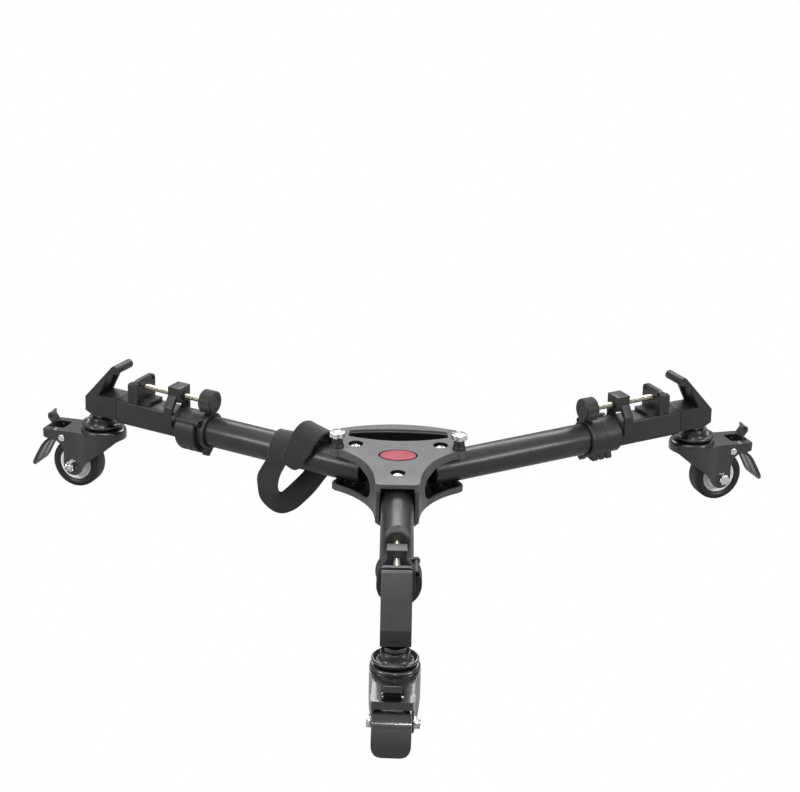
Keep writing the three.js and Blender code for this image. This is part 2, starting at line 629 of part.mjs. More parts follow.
// End bracket: boot-shaped casting whose sloped back holds the tripod's foot
function endBracket() {
  const half = RAIL_W / 2;
  const shape = new THREE.Shape();
  const slope = new THREE.Vector2(NOSE_CENTRE_R - BRACKET_END_R, NOSE_CENTRE_Z - SLOPE_START_Z).normalize();
  const away = new THREE.Vector2(slope.y, -slope.x);
  const startAngle = Math.atan2(away.y, away.x);
  shape.moveTo(SEAM_R, BRACKET_BOTTOM_Z);
  shape.lineTo(BRACKET_END_R - 7.5, BRACKET_BOTTOM_Z);
  shape.lineTo(BRACKET_END_R, BRACKET_BOTTOM_Z + 3.3);
  shape.lineTo(BRACKET_END_R, SLOPE_START_Z);
  shape.absarc(NOSE_CENTRE_R, NOSE_CENTRE_Z, NOSE_R, startAngle, deg(235), false);
  shape.quadraticCurveTo(BACK_BEND_R - 3, BACK_BEND_Z + 5, BACK_BEND_R, BACK_BEND_Z);
  shape.lineTo(BACK_FOOT_R, FLOOR_Z);
  shape.lineTo(SEAM_R, FLOOR_Z);
  const body = slabY(shape, -half, half, 5);
  const recess = slabY(outline([[BACK_FOOT_R + RECESS_DEPTH * 0.6, FLOOR_Z],
    [BACK_BEND_R + RECESS_DEPTH, BACK_BEND_Z],
    [BACK_BEND_R - RECESS_DEPTH, BACK_BEND_Z + RECESS_DEPTH], [BACK_BEND_R - 2 * RECESS_DEPTH, BACK_BEND_Z],
    [SEAM_R + CUT, FLOOR_Z]]), CHEEK_T - half, half - CHEEK_T);
  const spigot = slabX(roundedRect(-SPIGOT_W / 2, SPIGOT_W / 2, SPIGOT_Z - SPIGOT_H / 2,
    SPIGOT_Z + SPIGOT_H / 2, 2, 2),
    SEAM_R - SPIGOT_L, SEAM_R + CUT);
  const stemHole = rodZ(STEM_D / 2 + GAP, SWIVEL_R, 0, BRACKET_BOTTOM_Z - CUT, STEM_TOP_Z + GAP);
  return cut(join(body, spigot), recess, stemHole);
}

function clampYoke() {
  const w = YOKE_HALF_W;
  const leg = YOKE_LEG_HALF_W;
  const inner = RAIL_W / 2 + GAP;
  const arch = outline([[-w, YOKE_TOP_Z], [-w, YOKE_TOP_Z - 9], [-leg, YOKE_TOP_Z - 19], [-leg, YOKE_FOOT_Z],
    [-inner, YOKE_FOOT_Z], [-inner, FLOOR_Z + 3], [-w + 1.5, YOKE_ARCH_Z], [w - 1.5, YOKE_ARCH_Z],
    [inner, FLOOR_Z + 3], [inner, YOKE_FOOT_Z], [leg, YOKE_FOOT_Z], [leg, YOKE_TOP_Z - 19],
    [w, YOKE_TOP_Z - 9], [w, YOKE_TOP_Z]]);
  const legs = slabX(arch, YOKE_END_R - YOKE_LEG_T, YOKE_END_R);
  const block = box(YOKE_END_R - YOKE_T, YOKE_END_R, -w, w, YOKE_ARCH_Z, YOKE_TOP_Z);
  const bush = rodX(BUSH_D / 2, YOKE_END_R - YOKE_T - BUSH_L, YOKE_END_R - YOKE_T + CUT, 0, SCREW_Z, 12);
  const hole = rodX(SCREW_D / 2 + GAP, YOKE_END_R - YOKE_T - CUT * 2, YOKE_END_R + CUT, 0, SCREW_Z, 12);
  return cut(join(legs, block, bush), hole);
}

// Jaw: plate with rounded ears, a hollowed cup towards the foot and a shoe that rides on the rail
function clampJaw() {
  const z0 = FLOOR_Z + GAP;
  const plateEnd = JAW_PLATE_R + JAW_PLATE_T;
  const plate = slabX(roundedRect(-JAW_HALF_W, JAW_HALF_W, z0, JAW_TOP_Z, 1.5, JAW_CORNER), JAW_PLATE_R,
    plateEnd);
  const cup = slabX(roundedRect(-JAW_CUP_HALF_W, JAW_CUP_HALF_W, z0, JAW_CUP_TOP_Z, 1.5, 4), plateEnd - CUT,
    JAW_CUP_R);
  const shoe = box(JAW_SHOE_R, JAW_CUP_R - CUT, -JAW_CUP_HALF_W, JAW_CUP_HALF_W, z0, z0 + JAW_SHOE_H);
  const hollow = rodZ(JAW_HOLLOW_R, plateEnd + JAW_HOLLOW_R + CUT * 2.6, 0, z0 - CUT, JAW_TOP_Z + CUT);
  const ears = [-1, 1].map((side) => rodX(JAW_HOLE_D / 2, JAW_PLATE_R - CUT, plateEnd + CUT,
    side * (JAW_HALF_W - JAW_HOLE_INSET), JAW_TOP_Z - JAW_HOLE_INSET, 12));
  const bore = rodX(SCREW_D / 2 + GAP, JAW_PLATE_R - CUT, plateEnd + CUT, 0, SCREW_Z, 12);
  const pocket = rodX(JAW_POCKET_D / 2, plateEnd, JAW_CUP_R + CUT, 0, SCREW_Z, 12);
  return cut(join(plate, cup, shoe), hollow, ...ears, bore, pocket);
}

// Clamp screw, with the flange that holds it in the jaw
function clampScrew() {
  const half = SCREW_D / 2;
  const end = JAW_PLATE_R + JAW_PLATE_T + GAP;
  const flange = half * 1.6;
  return turned([[0, SCREW_START_R], [half, SCREW_START_R], [half, end], [flange, end], [flange, end + CUT],
    [0, end + CUT]],
    12, 'x').translate(0, 0, SCREW_Z);
}

function clampKnob() {
  const end = KNOB_START_R + KNOB_L;
  const outer = KNOB_D / 2;
  const shape = new THREE.Shape();
  for (let i = 0; i < KNOB_GROOVES * 2; i++) {
    const angle = FULL * i / (KNOB_GROOVES * 2);
    const radius = i % 2 ? outer : outer - GAP * 1.5;
    const y = radius * Math.cos(angle);
    const z = SCREW_Z + radius * Math.sin(angle);
    if (i === 0) shape.moveTo(y, z);
    else shape.lineTo(y, z);
  }
  const grip = slabX(shape, KNOB_START_R + 1, end - 1);
  const face = rodX(outer - 1.2, KNOB_START_R, end, 0, SCREW_Z, 12);
  const socket = rodX(SCREW_D / 2 + GAP, SCREW_START_R - GAP, end + CUT, 0, SCREW_Z, 12);
  return cut(join(grip, face), socket);
}

// Swivel: stem up into the bracket, nut, race and the kingpin through the fork's crown
function swivelRace() {
  const nutTop = BRACKET_BOTTOM_Z - GAP;
  const nutBottom = nutTop - NUT_H;
  const raceBottom = FORK_TOP_Z + CROWN_RISE + GAP;
  const pinBottom = FORK_TOP_Z + CROWN_RISE - FORK_SHEET - GAP;
  const race = RACE_D / 2;
  const profile = [[0, STEM_TOP_Z], [STEM_D / 2, STEM_TOP_Z], [STEM_D / 2, nutTop], [NUT_D / 2, nutTop],
    [NUT_D / 2, nutBottom], [NECK_D / 2, nutBottom], [NECK_D / 2, RACE_TOP_Z - 1.6],
    [race * 0.72, RACE_TOP_Z - 1.6],
    [race * 0.8, RACE_TOP_Z], [race * 0.92, RACE_TOP_Z], [race, RACE_TOP_Z - 1.5], [race, raceBottom],
    [KINGPIN_D / 2, raceBottom], [KINGPIN_D / 2, pinBottom],
    [KINGPIN_HEAD_D / 2, pinBottom], [KINGPIN_HEAD_D / 2, pinBottom - KINGPIN_HEAD_T],
    [0, pinBottom - KINGPIN_HEAD_T]];
  return turned(profile.reverse(), 14);
}

// Side of the pressed fork, from the crown to the rounded end at the axle
function forkSide() {
  const shape = new THREE.Shape();
  const rear = -CROWN_D / 2 + SKIRT_INSET;
  shape.moveTo(rear, FORK_TOP_Z);
  shape.lineTo(rear, FORK_TOP_Z - SKIRT_REAR_H);
  shape.lineTo(-SKIRT_BEND_X, FORK_TOP_Z - SKIRT_BEND_H);
  shape.lineTo(-SKIRT_MIDDLE_X, FORK_TOP_Z - SKIRT_MIDDLE_H);
  shape.lineTo(SKIRT_FOOT_X, FORK_TOP_Z - SKIRT_FOOT_H);
  shape.lineTo(TRAIL - FORK_TIP_R * 0.86, WHEEL_R - FORK_TIP_R * 0.5);
  shape.absarc(TRAIL + TIP_OFFSET, WHEEL_R, FORK_TIP_R, deg(212), deg(360), false);
  shape.lineTo(TRAIL + TIP_OFFSET + FORK_TIP_R, FORK_TOP_Z - CHEEK_FOOT_H);
  shape.lineTo(CHEEK_BEND_X, FORK_TOP_Z - CHEEK_BEND_H);
  shape.lineTo(CHEEK_TOP_X, FORK_TOP_Z - CHEEK_TOP_H);
  shape.lineTo(FORK_REACH - LIP_CHAMFER, FORK_TOP_Z - ROOF_LIP_H - LIP_SLANT);
  shape.lineTo(FORK_REACH, FORK_TOP_Z - ROOF_LIP_H);
  shape.lineTo(FORK_REACH, FORK_TOP_Z);
  return shape;
}

function casterFork() {
  const inner = FORK_HALF_W - FORK_SHEET;
  const crown = CROWN_D / 2;
  const top = FORK_TOP_Z + CROWN_RISE;
  const body = slabY(forkSide(), -FORK_HALF_W, FORK_HALF_W, 5);
  const well = box(-crown - CUT, FORK_REACH - FORK_SHEET, -inner, inner, 0, FORK_TOP_Z - FORK_SHEET);
  const shoulder = FORK_TOP_Z - FORK_SHEET;
  const cup = join(rodZ(crown, 0, 0, CROWN_SKIRT_Z, shoulder, 20),
    coneZ(crown, CROWN_TOP_D / 2, shoulder, top, 20));
  const crownWell = rodZ(crown - FORK_SHEET, 0, 0, CROWN_SKIRT_Z - CUT, shoulder, 20);
  const kingpin = join(rodZ(KINGPIN_D / 2 + GAP, 0, 0, CROWN_SKIRT_Z, top + CUT, 14),
    rodZ(KINGPIN_HEAD_D / 2 + 2 * GAP, 0, 0, CROWN_SKIRT_Z, top - FORK_SHEET, 14));
  const window = box(WINDOW_START, WINDOW_END, -WINDOW_HALF_W, WINDOW_HALF_W, BRAKE_Z, FORK_TOP_Z + CUT);
  const axle = rodY(AXLE_D / 2 + GAP, TRAIL, -crown, crown, WHEEL_R, 12);
  const rivetEnd = FORK_HALF_W + RIVET_HEAD_T;
  const rivet = join(rodY(RIVET_D / 2, BRAKE_X, -rivetEnd + GAP, rivetEnd - GAP, BRAKE_Z, 12),
    rodY(RIVET_HEAD_D / 2, BRAKE_X, -rivetEnd, -inner - GAP, BRAKE_Z, 12),
    rodY(RIVET_HEAD_D / 2, BRAKE_X, inner + GAP, rivetEnd, BRAKE_Z, 12));
  const shell = cut(join(cut(body, well), cup), crownWell, kingpin, window, axle);
  return join(shell, rivet);
}

function wheelTyre() {
  const half = WHEEL_W / 2;
  const inner = DISC_R + GAP;
  const profile = [[inner, -half + 1.5], [inner + 1, -half + 0.6], [WHEEL_R - 5, -half],
    [WHEEL_R - 1.6, -half + 2.2],
    [WHEEL_R, -half + 6], [WHEEL_R, half - 6], [WHEEL_R - 1.6, half - 2.2], [WHEEL_R - 5, half],
    [inner + 1, half - 0.6], [inner, half - 1.5]];
  return turned(profile, 24, 'y').translate(TRAIL, 0, WHEEL_R);
}

function wheelHub() {
  const half = DISC_W / 2;
  const boss = FORK_HALF_W - FORK_SHEET - GAP;
  const bore = AXLE_D / 2 + GAP;
  const profile = [[bore, -boss], [HUB_BOSS_D / 2, -boss], [HUB_BOSS_D / 2 + 0.6, -half + 2.2],
    [DISC_R - 3.4, -half + 1.2],
    [DISC_R - 2, -half], [DISC_R, -half], [DISC_R, half], [DISC_R - 2, half], [DISC_R - 3.4, half - 1.2],
    [HUB_BOSS_D / 2 + 0.6, half - 2.2], [HUB_BOSS_D / 2, boss], [bore, boss]];
  return turned(profile, 20, 'y').translate(TRAIL, 0, WHEEL_R);
}

function axleBolt() {
  const face = FORK_HALF_W + GAP;
  const shaft = rodY(AXLE_D / 2, TRAIL, -face - CUT, face + CUT, WHEEL_R, 12);
  const head = rodY(AXLE_HEX_D / 2, TRAIL, face, face + AXLE_HEAD_T, WHEEL_R, 6);
  const nut = rodY(AXLE_HEX_D / 2, TRAIL, -face - AXLE_HEAD_T, -face, WHEEL_R, 6);
  const end = rodY(AXLE_D / 2 - GAP, TRAIL, -face - AXLE_HEAD_T - 1, -face, WHEEL_R, 12);
  return join(shaft, head, nut, end);
}

// Brake: leaf-shaped pedal, two ears on the rivet and the release tab through the fork's window
function brakePedal() {
  const t = PEDAL_T;
  const blade = slabY(outline([[PEDAL_ROOT_X, PEDAL_ROOT_Z], [PEDAL_ROOT_X + 9, PEDAL_ROOT_Z - 7.2],
    [PEDAL_ROOT_X + 17, PEDAL_ROOT_Z - 18], [PEDAL_TIP_X, PEDAL_TIP_Z], [PEDAL_TIP_X - t, PEDAL_TIP_Z - 0.6],
    [PEDAL_ROOT_X + 14.4, PEDAL_ROOT_Z - 19], [PEDAL_ROOT_X + 6.6, PEDAL_ROOT_Z - 9.4],
    [PEDAL_ROOT_X - 1.6, PEDAL_ROOT_Z - 3]]), -PEDAL_HALF_W, PEDAL_HALF_W);
  const leaf = new THREE.Shape();
  const root = PEDAL_ROOT_Z + CUT;
  leaf.moveTo(-EAR_HALF_W, root);
  leaf.quadraticCurveTo(-PEDAL_HALF_W, root - PEDAL_CORNER / 2, -PEDAL_HALF_W, root - PEDAL_CORNER);
  leaf.lineTo(-PEDAL_HALF_W, PEDAL_TIP_Z + PEDAL_CORNER * 0.7);
  leaf.quadraticCurveTo(-PEDAL_HALF_W, PEDAL_TIP_Z - CUT, -PEDAL_HALF_W + PEDAL_CORNER, PEDAL_TIP_Z - CUT);
  leaf.lineTo(PEDAL_HALF_W - PEDAL_CORNER, PEDAL_TIP_Z - CUT);
  leaf.quadraticCurveTo(PEDAL_HALF_W, PEDAL_TIP_Z - CUT, PEDAL_HALF_W, PEDAL_TIP_Z + PEDAL_CORNER * 0.7);
  leaf.lineTo(PEDAL_HALF_W, root - PEDAL_CORNER);
  leaf.quadraticCurveTo(PEDAL_HALF_W, root - PEDAL_CORNER / 2, EAR_HALF_W, root);
  const ribs = [-1, 0, 1].map((place) => {
    const y = place * PEDAL_HALF_W / 2;
    return slabY(outline([[PEDAL_ROOT_X + 4, PEDAL_ROOT_Z - 3.6],
      [PEDAL_ROOT_X + 9, PEDAL_ROOT_Z - 7.2 + PEDAL_RIB],
      [PEDAL_ROOT_X + 17 + PEDAL_RIB, PEDAL_ROOT_Z - 18], [PEDAL_TIP_X - 4, PEDAL_TIP_Z + 6],
      [PEDAL_ROOT_X + 14.4, PEDAL_ROOT_Z - 18.4], [PEDAL_ROOT_X + 7, PEDAL_ROOT_Z - 8]]), y - PEDAL_RIB,
      y + PEDAL_RIB);
  });
  const shaped = join(blade, ...ribs).intersect(slabX(leaf, PEDAL_ROOT_X - CUT * 2, PEDAL_TIP_X + CUT, 5));
  const barrel = BARREL_D / 2;
  const earShape = outline([[BRAKE_X - barrel, BRAKE_Z], [BRAKE_X - barrel / 2, BRAKE_Z + barrel],
    [BRAKE_X + barrel, BRAKE_Z + barrel], [PEDAL_ROOT_X + 2, BRAKE_Z + 1],
    [PEDAL_ROOT_X + 3, PEDAL_ROOT_Z - 1.4],
    [PEDAL_ROOT_X - 1.6, PEDAL_ROOT_Z - 3],
    [BRAKE_X + barrel, BRAKE_Z - barrel * 0.6], [BRAKE_X, BRAKE_Z - barrel]]);
  const ears = [-1, 1].map((side) => slabY(earShape, Math.min(side * EAR_HALF_W, side * (EAR_HALF_W - EAR_T)),
    Math.max(side * EAR_HALF_W, side * (EAR_HALF_W - EAR_T))));
  const bridge = slabY(outline([[PEDAL_ROOT_X - 1.6, PEDAL_ROOT_Z - 3], [PEDAL_ROOT_X + 1, PEDAL_ROOT_Z - 1],
    [PEDAL_ROOT_X + 2, BRAKE_Z + 1], [PEDAL_ROOT_X - 0.4, BRAKE_Z + 1]]), -EAR_HALF_W, EAR_HALF_W);
  const tab = slabY(outline([[TAB_X - 0.4 - t / 2, BRAKE_Z], [TAB_X + t / 2, BRAKE_Z],
    [TAB_X + 2.4, FORK_TOP_Z + 6],
    [TAB_X + 1.6, FORK_TOP_Z + 11], [TAB_X - TAB_LEAN + t, TAB_TOP_Z], [TAB_X - TAB_LEAN, TAB_TOP_Z - 1],
    [TAB_X - 0.6, FORK_TOP_Z + 10.4], [TAB_X + 0.2, FORK_TOP_Z + 6]]), -TAB_HALF_W, TAB_HALF_W);
  const hole = rodY(RIVET_D / 2 + GAP, BRAKE_X, -PEDAL_HALF_W, PEDAL_HALF_W, BRAKE_Z, 12);
  return cut(join(shaped, ...ears, bridge, tab), hole);
}

function buildCaster(leg, arm) {
  const caster = new THREE.Group();
  caster.position.x = SWIVEL_R;
  caster.rotation.z = deg(CASTER_TURN[leg]);
  arm.add(caster);
  addMesh(caster, `caster_fork_${leg}`, casterFork(), BLACK_GLOSS);
  addMesh(caster, `wheel_tyre_${leg}`, wheelTyre(), RUBBER);
  addMesh(caster, `wheel_hub_${leg}`, wheelHub(), PALE_DISC);
  addMesh(caster, `axle_bolt_${leg}`, axleBolt(), STEEL);
  addMesh(caster, `brake_pedal_${leg}`, brakePedal(), BLACK_GLOSS);
}

function buildLeg(leg) {
  const arm = new THREE.Group();
  arm.rotation.z = deg(LEG_ANGLE[leg]);
  dolly.add(arm);
  addMesh(arm, `pivot_bolt_${leg}`, pivotBolt(), STEEL).position.x = PIVOT_R;
  addMesh(arm, `leg_tube_${leg}`, legTube(), BLACK_GLOSS);
  addMesh(arm, `inner_tube_${leg}`, innerTube(), STEEL);
  addMesh(arm, `lock_collar_${leg}`, lockCollar(), BLACK_PLASTIC);
  addMesh(arm, `lock_lever_${leg}`, lockLever(), BLACK_PLASTIC);
  addMesh(arm, `saddle_rail_${leg}`, saddleRail(), DARK_CAST);
  addMesh(arm, `end_bracket_${leg}`, endBracket(), DARK_CAST);
  addMesh(arm, `clamp_yoke_${leg}`, clampYoke(), DARK_CAST);
  addMesh(arm, `clamp_jaw_${leg}`, clampJaw(), DARK_CAST);
  addMesh(arm, `clamp_screw_${leg}`, clampScrew(), STEEL);
  addMesh(arm, `clamp_knob_${leg}`, clampKnob(), BLACK_PLASTIC);
  addMesh(arm, `swivel_race_${leg}`, swivelRace(), BLACK_GLOSS).position.x = SWIVEL_R;
  buildCaster(leg, arm);
}

function buildLocks() {
  for (const leg of ['left', 'right']) {
    const [x, y] = legPoint(leg, LOCK_R, leg === 'left' ? LOCK_T : -LOCK_T);
    addMesh(dolly, `lock_sleeve_${leg}`, lockSleeve(), BLACK_PLASTIC).position.set(x, y, 0);
    addMesh(dolly, `lock_screw_${leg}`, lockScrew(), STEEL).position.set(x, y, 0);
  }
}

// Strap: a band round the tube whose long end hangs in a loop and folds back in a flap
function strapPath() {
  const hug = TUBE_OD / 2 + STRAP_GAP + STRAP_T / 2;
  const top = LEG_AXIS_Z + hug;
  return new THREE.CatmullRomCurve3([
    [STRAP_SWAY * -0.7, -hug, LEG_AXIS_Z + 2], [STRAP_SWAY * -0.5, -hug * 0.7, top - STRAP_EASE],
    [STRAP_SWAY * -0.3, 0, top], [0, hug * 0.7, top - STRAP_EASE],
    [STRAP_SWAY * 0.3, hug, LEG_AXIS_Z], [STRAP_SWAY * 0.8, hug + 1, LEG_AXIS_Z - STRAP_TURN],
    [STRAP_SWAY * 1.2, hug - 3, LEG_AXIS_Z - STRAP_DROP],
    [STRAP_SWAY * 1.1, 4, LEG_AXIS_Z - STRAP_DROP - STRAP_SAG],
    [STRAP_SWAY * 0.5, -hug * 0.7, LEG_AXIS_Z - STRAP_DROP],
    [STRAP_SWAY * -0.4, -hug - 4, LEG_AXIS_Z - STRAP_TURN],
    [STRAP_SWAY * -0.9, -hug - STRAP_T - 2, LEG_AXIS_Z], [STRAP_SWAY * -0.9, -hug * 0.5, top + 4],
    [STRAP_SWAY * -0.5, hug * 0.5, top + FLAP_RISE], [0, hug * 1.3, top - 2],
    [2, hug + STRAP_T + 1.5, LEG_AXIS_Z],
    [4, hug + STRAP_T + 1.2, LEG_AXIS_Z - 12],
  ].map(([x, y, z]) => new THREE.Vector3(STRAP_R_POS + x, y, z)), false, 'centripetal');
}

// Ribbon of constant width along the leg, swept on the path
function strap() {
  const path = strapPath();
  const steps = 56;
  const half = STRAP_W / 2;
  const corners = [];
  for (let i = 0; i <= steps; i++) {
    const at = path.getPointAt(i / steps);
    const tangent = path.getTangentAt(i / steps);
    const normal = new THREE.Vector3(0, -tangent.z, tangent.y).normalize().multiplyScalar(STRAP_T / 2);
    for (const [side, face] of [[-1, -1], [1, -1], [1, 1], [-1, 1]]) {
      corners.push(at.x + side * half, at.y + face * normal.y, at.z + face * normal.z);
    }
  }
  const index = [0, 1, 2, 0, 2, 3];
  for (let i = 0; i < steps; i++) {
    for (let k = 0; k < 4; k++) {
      const a = 4 * i + k;
      const b = 4 * i + (k + 1) % 4;
      index.push(a, a + 4, b, b, a + 4, b + 4);
    }
  }
  const e = 4 * steps;
  index.push(e, e + 2, e + 1, e, e + 3, e + 2);
  const geometry = new THREE.BufferGeometry();
  geometry.setAttribute('position', new THREE.Float32BufferAttribute(corners, 3));
  geometry.setIndex(index);
  return geometry;
}

function buildStrap() {
  const arm = new THREE.Group();
  arm.rotation.z = deg(LEG_ANGLE.left);
  dolly.add(arm);
  addMesh(arm, 'strap', strap(), WEBBING);
}

buildHub();
buildLocks();
for (const leg of Object.keys(LEG_ANGLE)) buildLeg(leg);
buildStrap();

// The origin is the middle of the object's box, on the floor
const extent = new THREE.Box3().setFromObject(dolly, true);
const middle = extent.getCenter(new THREE.Vector3());
dolly.position.set(-middle.x, -middle.y, -extent.min.z);

export default dolly;
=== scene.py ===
"""Looks of the tripod dolly: fine surfaces, materials, studio light and the photograph's camera."""
import json
from math import atan2, cos, exp, pi, radians, sin, sqrt, tau

import bmesh
import bpy
from mathutils import Matrix, Vector


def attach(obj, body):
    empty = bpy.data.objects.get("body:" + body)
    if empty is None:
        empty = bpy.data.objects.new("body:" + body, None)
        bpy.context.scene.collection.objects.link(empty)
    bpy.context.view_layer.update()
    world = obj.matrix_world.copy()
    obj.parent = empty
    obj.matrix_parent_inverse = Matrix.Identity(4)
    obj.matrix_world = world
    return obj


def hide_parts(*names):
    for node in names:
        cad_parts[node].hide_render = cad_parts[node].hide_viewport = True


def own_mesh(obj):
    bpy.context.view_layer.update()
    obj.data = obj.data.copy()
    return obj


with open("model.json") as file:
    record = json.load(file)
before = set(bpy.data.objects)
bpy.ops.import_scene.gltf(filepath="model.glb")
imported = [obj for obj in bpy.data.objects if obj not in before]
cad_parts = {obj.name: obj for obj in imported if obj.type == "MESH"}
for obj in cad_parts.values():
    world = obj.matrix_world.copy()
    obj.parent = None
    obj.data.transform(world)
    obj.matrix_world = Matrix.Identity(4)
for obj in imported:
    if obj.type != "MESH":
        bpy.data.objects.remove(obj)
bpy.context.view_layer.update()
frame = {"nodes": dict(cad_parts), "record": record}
scene = bpy.context.scene

MM = 0.001                 # shapes are made in millimetres; lights and floor are in metres
HUB_Y = 100.588            # hub centre, behind the object's middle
LEGS = {"left": 150, "right": 30, "front": -90}
CASTER_TURN = {"left": 7, "right": -7, "front": -2}
AXIS_Z = 89.3              # height of the leg axes
SCREW_Z = 119.2            # height of the clamp screws
SWIVEL_R = 336.7           # casters' swivels, out along each leg
ARM_AXIS = (0, 0, AXIS_Z)
SCREW_AXIS = (0, 0, SCREW_Z)
FLOOR_Z = 103.5            # top of the rail, where the tripod's foot stands
BOX_HALF_W = 13            # half width of the rail and the bracket
RAIL_START_R, RAIL_END_R = 241.2, 310.7
JAW_LOW = 103.8
JAW_FACE_R = 287.7         # outer face of the jaw's plate

# Hub, about its centre
PIVOT_R = 45.8             # pivot bolts, out along each leg
BOLT_HOLE_R = 4.3
LOCK_R = 56.2              # lock screws, out along a side leg
LOCK_SIDES = {"left": 16, "right": -16}   # and aside of it
PLATE_LOW, PLATE_TOP = 104.6, 112.5
GRIP_LOW = 100.5
TOP_LOBES = (62, 74, 20.5, 36)            # reach of the side and front lobes, half width and waist
WAIST_SHARE = 0.72
HANDLE_HALF_W = 55
SLOT_BACK_Y = 60
SLOT_LEDGE_Y = 57.6
INLAY_Y = -4
WEB_REACH_X, WEB_FRONT_Y, WEB_BACK_Y = 56, -69, 7

# Collar and lever, about the leg's axis
LEVER_PIN = (20.6, 35)     # radius and angle
KNUCKLE_T = 4

# Caster, about its swivel
RIVET = (37, 52.8)         # where the pedal turns: distance out, and height
AXLE = (26.5, 0, 25)
FORK_CUT_W = 26

# Strap, along the left leg
STRAP_W, STRAP_T = 26.0, 1.8

ON_AXIS = 1e-5
SIDE_SHARE = 0.48          # most of a side that a rounded corner takes up
LEAST_ROUNDING = 1e-3
STRAIGHT = radians(165)    # flatter corners are left as they are
SHARP_EDGE = radians(32)   # sharper edges aren't smoothed over
MIX_FACTOR, MIX_FIRST, MIX_SECOND, MIX_RESULT = 0, 6, 7, 2   # sockets of a Mix node that blends colours
LATHE_TURN = {"Z": Matrix.Identity(4), "X": Matrix.Rotation(pi / 2, 4, "Y"),
              "Y": Matrix.Rotation(-pi / 2, 4, "X")}
PRISM_TURN = {"Z": Matrix.Identity(4), "X": Matrix(((0, 0, 1, 0), (1, 0, 0, 0), (0, 1, 0, 0), (0, 0, 0, 1))),
              "Y": Matrix(((1, 0, 0, 0), (0, 0, -1, 0), (0, 1, 0, 0), (0, 0, 0, 1)))}


def hub_frame():
    return Matrix.Scale(MM, 4) @ Matrix.Translation((0, HUB_Y, 0))


def arm_frame(leg):
    return hub_frame() @ Matrix.Rotation(radians(LEGS[leg]), 4, "Z")


def caster_frame(leg):
    turn = Matrix.Rotation(radians(CASTER_TURN[leg]), 4, "Z")
    return arm_frame(leg) @ Matrix.Translation((SWIVEL_R, 0, 0)) @ turn


def to_mesh(bm):
    mesh = bpy.data.meshes.new("part")
    bm.to_mesh(mesh)
    bm.free()
    return mesh


def soften(points, radius, steps=3, closed=True):
    """Rounds the corners of an outline; the two ends of an open one stay."""
    result = []
    count = len(points)
    for i, point in enumerate(points):
        if not closed and i in (0, count - 1):
            result.append(tuple(point))
            continue
        p = Vector(point)
        a = Vector(points[i - 1]) - p
        b = Vector(points[(i + 1) % count]) - p
        reach = min(radius, a.length * SIDE_SHARE, b.length * SIDE_SHARE)
        if reach < LEAST_ROUNDING or a.angle(b) > STRAIGHT:
            result.append(tuple(point))
            continue
        start = p + a.normalized() * reach
        end = p + b.normalized() * reach
        for k in range(steps + 1):
            t = k / steps
            result.append(tuple(start * (1 - t) ** 2 + p * 2 * t * (1 - t) + end * t ** 2))
    return result


def lathe(profile, axis="Z", centre=(0, 0, 0), sides=72, soft=0.4, closed=True):
    """Turns a (radius, height) outline; closed outlines make rings, open ones start and end on the axis."""
    points = soften(profile, soft, 3, closed) if soft else profile
    circle = [(cos(tau * k / sides), sin(tau * k / sides)) for k in range(sides)]
    bm = bmesh.new()
    rings = []
    for radius, height in points:
        if radius < ON_AXIS:
            rings.append([bm.verts.new((0, 0, height))])
        else:
            rings.append([bm.verts.new((radius * x, radius * y, height)) for x, y in circle])
    for low, high in zip(rings, rings[1:] + (rings[:1] if closed else [])):
        join_rings(bm, low, high, sides)
    place = Matrix.Translation(centre) @ LATHE_TURN[axis]
    bmesh.ops.transform(bm, matrix=place, verts=bm.verts)
    return finished(bm)


def join_rings(bm, low, high, sides):
    """Faces between two rings of a lathe, each of which may be one point on the axis."""
    for k in range(sides):
        n = (k + 1) % sides
        if len(low) == 1 and len(high) == 1:
            continue
        if len(low) == 1:
            bm.faces.new((low[0], high[n], high[k]))
        elif len(high) == 1:
            bm.faces.new((low[k], low[n], high[0]))
        else:
            bm.faces.new((low[k], low[n], high[n], high[k]))


def join_loops(bm, rows):
    """Faces between rows that each go round a wall."""
    for near, far in zip(rows, rows[1:]):
        for k in range(len(near)):
            n = (k + 1) % len(near)
            bm.faces.new((near[k], far[k], far[n], near[n]))


def join_sheets(bm, tops, bottoms):
    """Closes two equal grids of points into one body."""
    columns = range(len(tops[0]) - 1)
    for a, b, c, d in zip(tops, tops[1:], bottoms, bottoms[1:]):
        for k in columns:
            bm.faces.new((a[k], a[k + 1], b[k + 1], b[k]))
            bm.faces.new((c[k], d[k], d[k + 1], c[k + 1]))
        bm.faces.new((a[0], b[0], d[0], c[0]))
        bm.faces.new((a[-1], c[-1], d[-1], b[-1]))
    for row in (0, -1):
        for k in columns:
            bm.faces.new((tops[row][k], tops[row][k + 1], bottoms[row][k + 1], bottoms[row][k]))


def finished(bm):
    """The mesh with its faces turned outward."""
    bmesh.ops.recalc_face_normals(bm, faces=bm.faces)
    return to_mesh(bm)


def direction_at(points, i):
    """Direction of an open line at one of its points."""
    ahead, behind = Vector(points[min(i + 1, len(points) - 1)]), Vector(points[max(i - 1, 0)])
    return (ahead - behind).normalized()


def merge(*meshes):
    bm = bmesh.new()
    for mesh in meshes:
        bm.from_mesh(mesh)
    return to_mesh(bm)


def with_modifier(mesh, kind, values):
    """The mesh with one modifier applied."""
    holder = bpy.data.objects.new("work", mesh)
    scene.collection.objects.link(holder)
    modifier = holder.modifiers.new(kind, kind)
    for key, value in values.items():
        setattr(modifier, key, value)
    result = bpy.data.meshes.new_from_object(holder.evaluated_get(bpy.context.evaluated_depsgraph_get()))
    bpy.data.objects.remove(holder)
    return result


